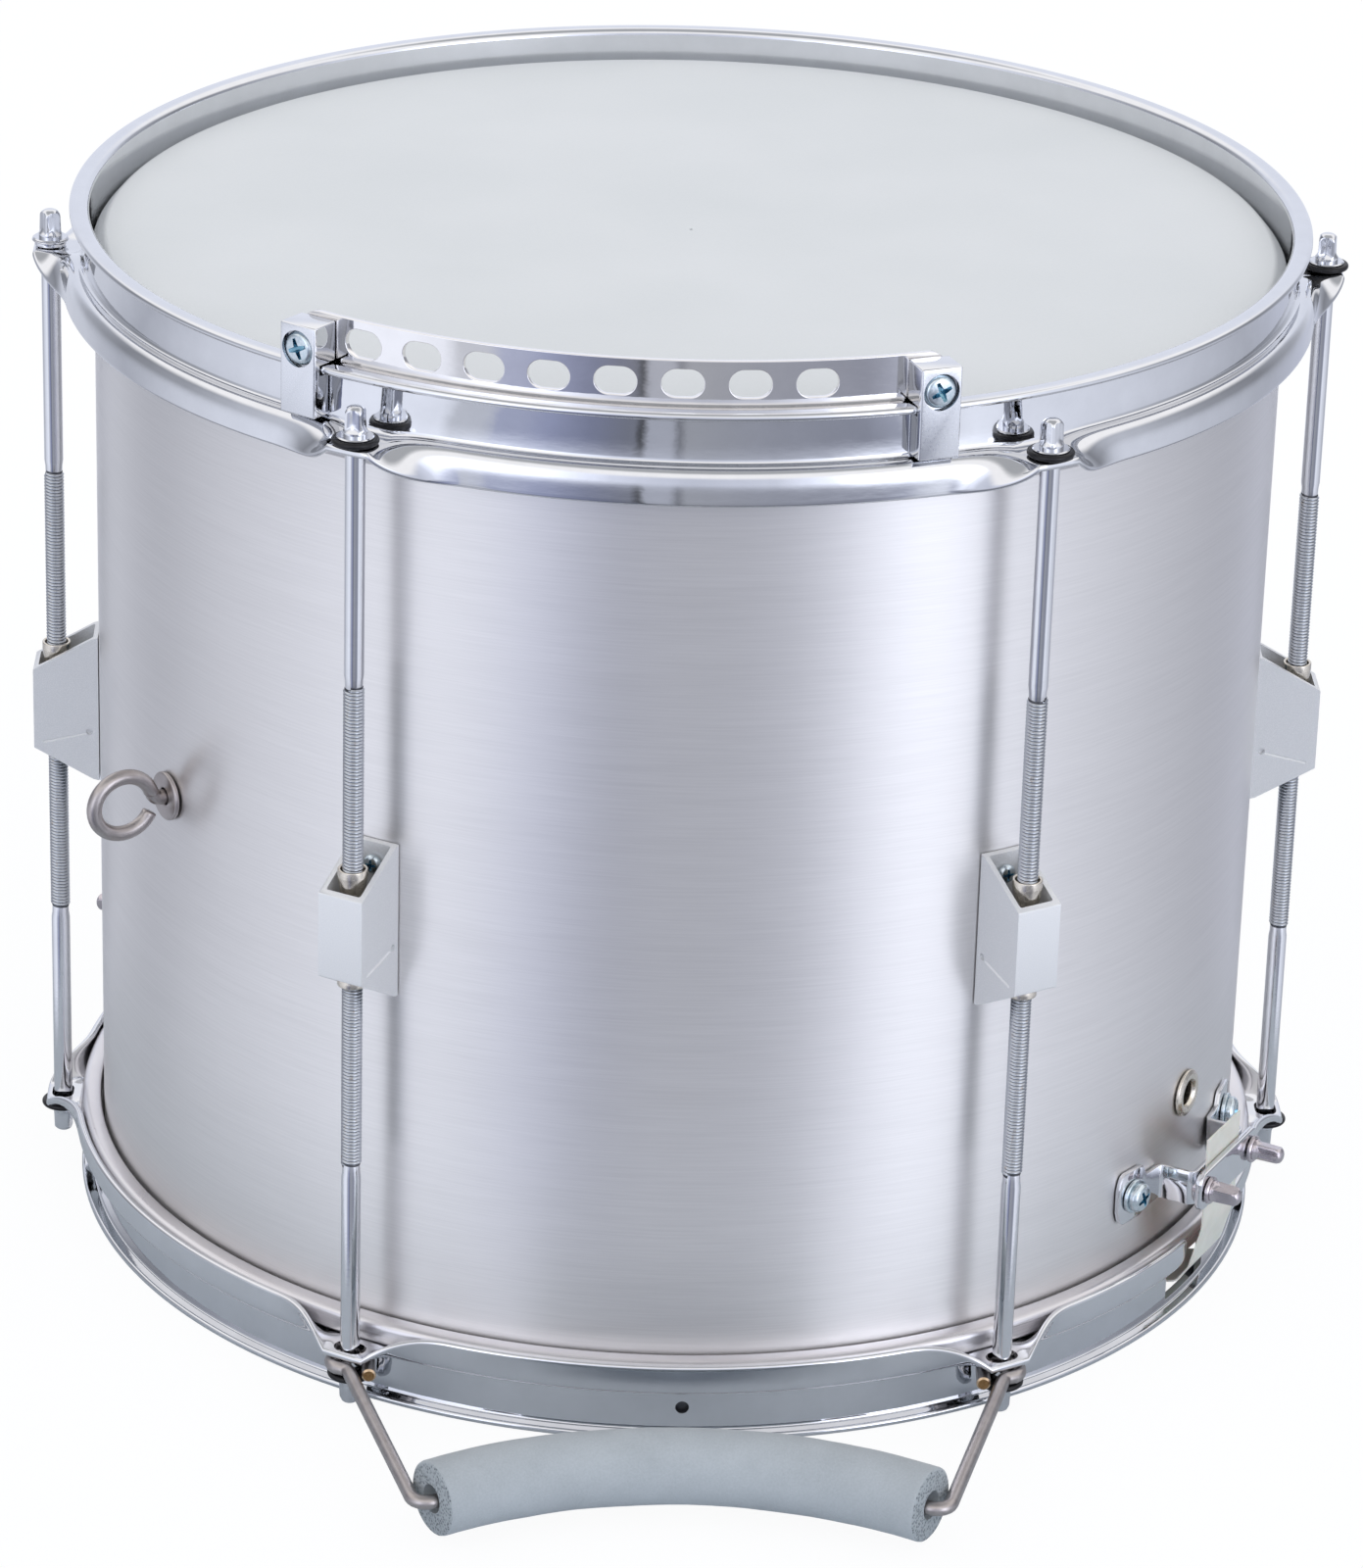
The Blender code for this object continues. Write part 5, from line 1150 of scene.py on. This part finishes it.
def make_butt():
    station = at_angle(BUTT_ANGLE)
    bridge = mesh_of("butt_bridge", bridge_form(), 35, 0.3, 0, 2)
    piece("butt_strip", bridge, station, "chrome", "drum", "butt_bridge")
    screw, washer = screw_mesh("foot_screw", 4.5, 2.8, 1.8, 11.3, 5.4, 1.2)
    for side, sign in (("left", -1), ("right", 1)):
        local = turn(bent(33.4) * sign, "Z") @ shift(179.9 * MM, 0, 47.5 * MM) @ OUTWARDS
        twist = turn(20 if sign < 0 else 62, "Z")
        piece(f"butt_bolt_{side}", screw, station @ local @ twist, "zinc_plate", "drum",
              f"butt_foot_screw_{side}")
        piece(f"butt_washer_{side}", washer, station @ local, "zinc_plate", "drum")
    base = at_angle(STRAINER_ANGLE)
    for side, sign in (("left", -1), ("right", 1)):
        local = turn(bent(24) * sign, "Z") @ shift(180.9 * MM, 0, 91 * MM) @ OUTWARDS
        piece(f"strainer_bolt_{side}", screw, base @ local, "zinc_plate", "drum",
              f"strainer_foot_screw_{side}")
        piece(f"strainer_washer_{side}", washer, base @ local, "zinc_plate", "drum")
    outline = rounded([(-21, -6, 3.2), (21, -6, 3.2), (21, 6, 3.2), (-21, 6, 3.2)], 5)
    bar = mesh_of("clamp_bar", moved(slab(outline, -1.1, 1.1), turn(90, "X") @ turn(90, "Y")), 30, 0.5, 0, 3)
    strap = mesh_of("strap", strap_form(), 30)
    key_screw = key_screw_mesh()
    for prefix, place, body in (("butt", station, "drum"), ("strainer", base, "slide")):
        local = shift(192.2 * MM, 0, CLAMP_HEIGHT * MM)
        piece(f"{prefix}_bar", bar, place @ local, "nickel", body, f"{prefix}_clamp_bar",
              material=FINISHES["chrome"])
        piece(f"{prefix}_snare_strap", strap, place, "snare_strap", body, f"{prefix}_strap")
        for side, sign in (("left", -1), ("right", 1)):
            local = shift(193.6 * MM, sign * 16 * MM, CLAMP_HEIGHT * MM) @ OUTWARDS
            twist = turn(12 if sign < 0 else -9, "Z")
            name = f"{prefix}_key_screw_{side}"
            piece(f"{prefix}_key_{side}", key_screw, place @ local @ twist, "nickel", name, name,
                  material=KEY_NICKEL)


def coil(length, radius, wire, pitch):
    """A thin wire wound along X, with its turns drawn further apart than the real ones."""
    per_turn = 7
    count = int(length / pitch * per_turn)
    sections = []
    for k in range(count + 1):
        angle = 2 * math.pi * k / per_turn
        out = Vector((0, math.cos(angle), math.sin(angle)))
        centre = Vector((length * (k / count - 0.5), 0, 0)) + out * radius
        along = Vector((1, 0, 0))
        sections.append([centre + out * wire, centre + along * wire, centre - out * wire, centre - along * wire])
    return skin(sections)


def make_wires():
    coils = coil(304, 0.62, 0.24, 2.4)
    forms = []
    for index in range(14):
        forms.append(moved(coils, shift(0, (index - 6.5) * 2.6, 7.5)))
    for sign in (-1, 1):
        outline = rounded([(150, -17.5, 2), (164, -17.5, 2), (164, 17.5, 2), (150, 17.5, 2)], 4)
        forms.append(moved(slab(outline, 6.35, 7.35), turn(0 if sign > 0 else 180, "Z")))
    mesh = mesh_of("snare_wires", together(*forms), 50)
    piece("wire_set", mesh, at_angle(BUTT_ANGLE), "stainless_steel", "wires", "snare_wires")


# Strainer.


def softened(node_name, width):
    """A copy of a node's own mesh with its edges rounded."""
    mesh = frame["nodes"][node_name].data.copy()
    mesh.name = node_name + "_soft"
    mesh.materials.clear()
    work = bmesh.new()
    work.from_mesh(mesh)
    bmesh.ops.remove_doubles(work, verts=work.verts, dist=5e-6)
    bmesh.ops.dissolve_limit(
        work, angle_limit=math.radians(2), verts=work.verts, edges=work.edges,
        use_dissolve_boundaries=False,
    )
    work.to_mesh(mesh)
    work.free()
    return tidied(mesh, 32, width, 0.8, 2)


def make_strainer():
    for name, node_name, body, width in (
        ("strainer_frame", "strainer_bracket", "drum", 0.4),
        ("strainer_carriage", "strainer_slide", "slide", 0.35),
        ("throw_lever", "strainer_lever", "lever", 0.45),
    ):
        piece(name, softened(node_name, width), Matrix(), "chrome", body, node_name)
    sections = []
    sides = 96
    for radius, z, ridge in ((2.5, -18.3, 0), (2.5, 0, 0), (6.0, 0, 0), (6.9, 0.7, 1), (6.9, 7.4, 1),
                             (6.2, 8.4, 0.3), (5.4, 8.9, 0), (4.0, 9.0, 0), (3.6, 8.6, 0), (0.4, 8.5, 0)):
        section = []
        for k in range(sides):
            reach = radius + (0.28 * ridge if k % 4 < 2 else -0.22 * ridge)
            angle = 2 * math.pi * k / sides
            section.append((reach * math.cos(angle), reach * math.sin(angle), z))
        sections.append(section)
    knob = mesh_of("strainer_knob", skin(sections), 30)
    place = at_angle(STRAINER_ANGLE) @ shift(190.8 * MM, 0, 118.3 * MM)
    piece("tension_knob", knob, place, "nickel", "knob", "strainer_knob")


# Leg rest.

REST_HEIGHT = 14.8
FOAM_CURVE = 133.3
FOAM_CENTRE = Vector((0, -224.3 - FOAM_CURVE))
FOAM_END = math.degrees(math.asin((ROD_CIRCLE * 0.5 - 25.2) / FOAM_CURVE))


def make_leg_rest():
    station = math.radians(30 - 90)
    rod = ROD_CIRCLE * Vector((math.cos(station), math.sin(station)))
    outwards = rod.normalized()
    inwards = Vector((-abs(outwards.y), -abs(outwards.x)))
    tail = Vector((4.8, 9.4))
    touch = math.degrees(math.atan2(tail.y, tail.x)) + math.degrees(math.acos(5.4 / tail.length))
    hook = [tail, *arc((0, 0), 5.4, touch, 345, 26)]
    elbow = arc((0, 0), 5.4, 25, 25, 1)[0]
    hook = [rod + outwards * point.x + inwards * point.y for point in hook]
    elbow = rod + outwards * elbow.x + inwards * elbow.y
    in_foam = arc(FOAM_CENTRE, 131.7, 90 - FOAM_END, 90, 14)
    leaving = Vector((math.cos(math.radians(FOAM_END)), -math.sin(math.radians(FOAM_END))))
    bend = in_foam[0] + leaving * 6
    half = [
        *hook[:-1],
        *rounded([hook[-1], (*elbow, 3), (*bend, 4.5), in_foam[0]], 7, closed=False),
        *in_foam[1:],
    ]
    path = half + [Vector((-point.x, point.y)) for point in half[-2::-1]]
    mesh = mesh_of("leg_rest_wire", swept([(x, y, REST_HEIGHT) for x, y in path], 2.1, 20, 0.5), 34)
    mesh.materials.append(FINISHES["stainless_steel"])
    ends = [Vector((p.x, p.y, REST_HEIGHT)) * MM for p in (path[0], path[-1])]
    paint_faces(mesh, BRASS_EDGE, lambda p: min((p.center - end).length for end in ends) < 2.15 * MM)
    paint_faces(mesh, BRASS_END, lambda p: min((p.center - end).length for end in ends) < 0.3 * MM)
    piece("rest_wire", mesh, DRUM_FRONT, "stainless_steel", "drum", "leg_rest_wire")


DRUM_FRONT = shift(0, 0, -HEAD_FACE * MM)


def make_foam():
    steps, sides = 90, 64
    sections = []
    spans = [(k / steps) * 2 - 1 for k in range(steps + 1)]

    def ring(share, radius, lumps):
        angle = math.radians(FOAM_END * share)
        away = Vector((math.sin(angle), math.cos(angle), 0))
        centre = Vector((FOAM_CENTRE.x, FOAM_CENTRE.y, REST_HEIGHT)) + away * FOAM_CURVE
        points = []
        for k in range(sides):
            a = 2 * math.pi * k / sides
            out = away * math.cos(a) + Vector((0, 0, math.sin(a)))
            point = centre + out * radius
            swell = noise.noise(point / 17) * 0.22 + noise.noise(point / 4.5) * 0.06
            points.append(point + out * swell * lumps)
        return points

    edge = [(1.0, 10.3), (0.995, 10.8), (0.985, 11.0)]
    sections += [ring(-share, radius, 0.4) for share, radius in edge]
    sections += [ring(share * 0.975, 11.0, 1) for share in spans]
    sections += [ring(share, radius, 0.4) for share, radius in edge[::-1]]
    sections += [ring(share, 4.3, 0) for share in (1.0, 0.97, 0.6, 0.2, -0.2, -0.6, -0.97, -1.0)]
    mesh = mesh_of("leg_rest_foam", skin(sections, ring=True), 50)
    mesh.materials.append(FINISHES["grey_foam"])
    last = math.radians(FOAM_END)
    along = Vector((math.cos(last), -math.sin(last), 0))
    end_distance = (FOAM_CENTRE.to_3d() * MM).dot(along)

    def is_cut(p):
        side = 1 if p.center.x > 0 else -1
        out = Vector((along.x * side, along.y, 0))
        return p.normal.dot(out) > 0.8 and p.center.dot(out) > end_distance - 0.5 * MM

    paint_faces(mesh, CUT_FOAM, is_cut)
    roll = piece("foam_roll", mesh, DRUM_FRONT, "grey_foam", "drum", "leg_rest_foam")


# Floor, light and camera.


def azimuth_of(tree, vector):
    """The direction's angle round the drum, as 0 to 1 from the back by -X to the back again."""
    parts = node(tree, "ShaderNodeSeparateXYZ", {"Vector": vector})
    back = node(tree, "ShaderNodeMath", {0: parts.outputs["Y"], 1: -1.0}, operation="MULTIPLY")
    angle = node(
        tree, "ShaderNodeMath", {0: parts.outputs["X"], 1: back.outputs[0]}, operation="ARCTAN2"
    )
    share = node(
        tree, "ShaderNodeMath", {0: angle.outputs[0], 1: 1 / (2 * math.pi), 2: 0.5},
        operation="MULTIPLY_ADD",
    )
    return share.outputs[0], parts.outputs["Z"]


# The studio round the drum. Below the drum's top: broad soft lights in front to the left and right,
# each with a clear edge, a darker gap between them where the camera stands with a pale strip in it,
# and a pale wall behind. Angle from the front, light, and how much bluer than white.
LOW_RING = [
    (-180, 0.72, 0.0), (-144, 0.72, 0.0), (-124, 0.54, 0.02), (-103, 0.83, 0.0), (-66, 1.07, 0.0),
    (-53, 1.05, 0.0), (-47, 0.97, 0.0), (-45.5, 0.67, 0.0), (-38.5, 0.66, 0.02), (-37, 0.52, 0.2),
    (-32, 0.51, 0.2), (-27.6, 0.43, 0.28), (-19, 0.28, 0.28), (-13, 0.245, 0.15), (-10.6, 0.25, 0.1),
    (-9.9, 0.04, 0.0), (-9.2, 0.5, 0.04), (-3.2, 0.5, 0.04), (-2.6, 0.1, 0.0), (-2.0, 0.1, 0.0),
    (-1.4, 0.42, 0.0), (12, 0.38, 0.05), (32, 0.34, 0.1), (38, 0.46, 0.1), (43, 0.85, 0.0),
    (53, 1.08, 0.0), (65, 0.96, 0.0), (86, 0.87, 0.0), (127, 0.54, 0.02), (148, 0.64, 0.06),
    (180, 0.72, 0.0),
]
# Above the drum's top: two tall strip lights in front, and the pale wall behind.
HIGH_RING = [
    (-180, 0.95, 0.0), (-150, 0.9, 0.0), (-138, 0.5, 0.0), (-120, 0.32, 0.0), (-100, 0.45, 0.0),
    (-80, 0.7, 0.0), (-62, 0.95, 0.0), (-48, 1.4, 0.0), (-36, 2.1, 0.0), (-28, 1.7, 0.02),
    (-14, 0.95, 0.04), (0, 0.75, 0.04), (14, 0.85, 0.03), (24, 1.35, 0.02), (32, 2.8, 0.0),
    (42, 3.3, 0.0), (50, 2.3, 0.0), (62, 1.1, 0.0), (80, 0.7, 0.0), (100, 0.42, 0.0),
    (120, 0.3, 0.0), (138, 0.5, 0.0), (150, 0.9, 0.0), (180, 0.95, 0.0),
]


def ring_of_light(tree, share, stops):
    colours = []
    for angle, light, blue in stops:
        tint = (0.94 - 0.4 * blue, 0.98 - 0.25 * blue, 1.1 + 0.8 * blue)
        colours.append(((angle + 180) / 360, (*(light * part for part in tint), 1)))
    return ramp(tree, share, colours)


def rising(tree, value, low, high):
    """From 0 to 1 as the value goes from low to high."""
    return node(
        tree, "ShaderNodeMapRange",
        {"Value": value, "From Min": low, "From Max": high}, interpolation_type="SMOOTHSTEP",
    ).outputs["Result"]


def blend(tree, share, first, second):
    return node(
        tree, "ShaderNodeMix", {6: first, 7: second, 0: share}, data_type="RGBA",
    ).outputs[2]


def studio_light():
    """The background: the lights and the darker room between them."""
    world = bpy.data.worlds.new("studio")
    bpy.context.scene.world = world
    world.use_nodes = True
    tree = world.node_tree
    tree.nodes.clear()
    direction = node(tree, "ShaderNodeTexCoord").outputs["Generated"]
    share, up = azimuth_of(tree, direction)
    low = ring_of_light(tree, share, LOW_RING)
    dimmed = node(
        tree, "ShaderNodeMix", {6: low, 7: (0.62, 0.62, 0.62, 1), 0: 1.0}, data_type="RGBA",
        blend_type="MULTIPLY",
    ).outputs[2]
    lower = blend(tree, rising(tree, up, -0.62, -0.46), dimmed, low)
    lamps = blend(tree, rising(tree, up, -0.34, 0.02), lower, ring_of_light(tree, share, HIGH_RING))
    canopy = blend(tree, rising(tree, up, 0.76, 0.93), (1.18, 1.17, 1.18, 1), (0.5, 0.51, 0.53, 1))
    light = blend(tree, rising(tree, up, 0.3, 0.6), lamps, canopy)
    background = node(tree, "ShaderNodeBackground", {"Color": light, "Strength": 1.0})
    rays = node(tree, "ShaderNodeLightPath")
    plain = node(tree, "ShaderNodeBackground", {"Color": (1, 1, 1, 1), "Strength": 1.0})
    mixed = node(
        tree, "ShaderNodeMixShader",
        {0: rays.outputs["Is Camera Ray"], 1: background.outputs[0], 2: plain.outputs[0]},
    )
    node(tree, "ShaderNodeOutputWorld", {"Surface": mixed.outputs[0]})


def pale_floor():
    """White paper. The camera sees most of it as plain white with the drum's shadow on it, and
    metal shows it where it lies close to the drum."""
    material = bpy.data.materials.new("pale_floor")
    material.use_nodes = True
    tree = material.node_tree
    tree.nodes.clear()
    paper = node(tree, "ShaderNodeBsdfDiffuse", {"Color": linear("c9d0d6")})
    white = node(tree, "ShaderNodeEmission", {"Color": (1, 1, 1, 1), "Strength": 1.06})
    rays = node(tree, "ShaderNodeLightPath")
    part = node(tree, "ShaderNodeMath", {0: rays.outputs["Is Camera Ray"], 1: 0.88}, operation="MULTIPLY")
    seen = node(tree, "ShaderNodeMixShader", {0: part.outputs[0], 1: paper.outputs[0], 2: white.outputs[0]})
    place = node(tree, "ShaderNodeTexCoord").outputs["Object"]
    out = node(tree, "ShaderNodeVectorMath", {0: place}, operation="LENGTH").outputs["Value"]
    far = node(
        tree, "ShaderNodeMapRange",
        {"Value": out, "From Min": 0.26, "From Max": 0.34}, interpolation_type="SMOOTHSTEP",
    ).outputs["Result"]
    hidden = node(tree, "ShaderNodeMath", {0: rays.outputs["Is Glossy Ray"], 1: far}, operation="MULTIPLY")
    clear = node(tree, "ShaderNodeBsdfTransparent")
    mixed = node(tree, "ShaderNodeMixShader", {0: hidden.outputs[0], 1: seen.outputs[0], 2: clear.outputs[0]})
    node(tree, "ShaderNodeOutputMaterial", {"Surface": mixed.outputs[0]})
    bpy.ops.mesh.primitive_plane_add(size=40, location=(0, 0, cad_box[0][2]))
    floor = bpy.context.object
    floor.name = "floor"
    floor.data.materials.append(material)


def photograph_camera():
    camera = bpy.data.objects.new("camera", bpy.data.cameras.new("camera"))
    bpy.context.scene.collection.objects.link(camera)
    camera.data.lens = 140.1
    pitch, roll = math.radians(23.54), math.radians(-1.62)
    yaw, aside = math.radians(-1.73), math.radians(0.124)
    camera.matrix_world = (
        Matrix.Translation((-0.0546, -1.7383, 0.8865 - HEAD_FACE * MM))
        @ Matrix.Rotation(yaw, 4, "Z")
        @ Matrix.Rotation(math.pi / 2 - pitch, 4, "X")
        @ Matrix.Rotation(-aside, 4, "Y")
        @ Matrix.Rotation(-roll, 4, "Z")
    )
    bpy.context.scene.camera = camera


for part in frame["record"]["subparts"]:
    own = frame["nodes"][part["node"]]
    own.data.materials.clear()
    own.data.materials.append(FINISHES[part["material_slot"]])

photograph_camera()
studio_light()
pale_floor()
make_shell()
make_heads()
make_hoops()
make_rods()
make_lugs()
make_plate()
make_clamps()
make_eye()
make_vent()
make_butt()
make_wires()
make_strainer()
make_leg_rest()
make_foam()
bpy.context.scene.view_settings.view_transform = "Standard"
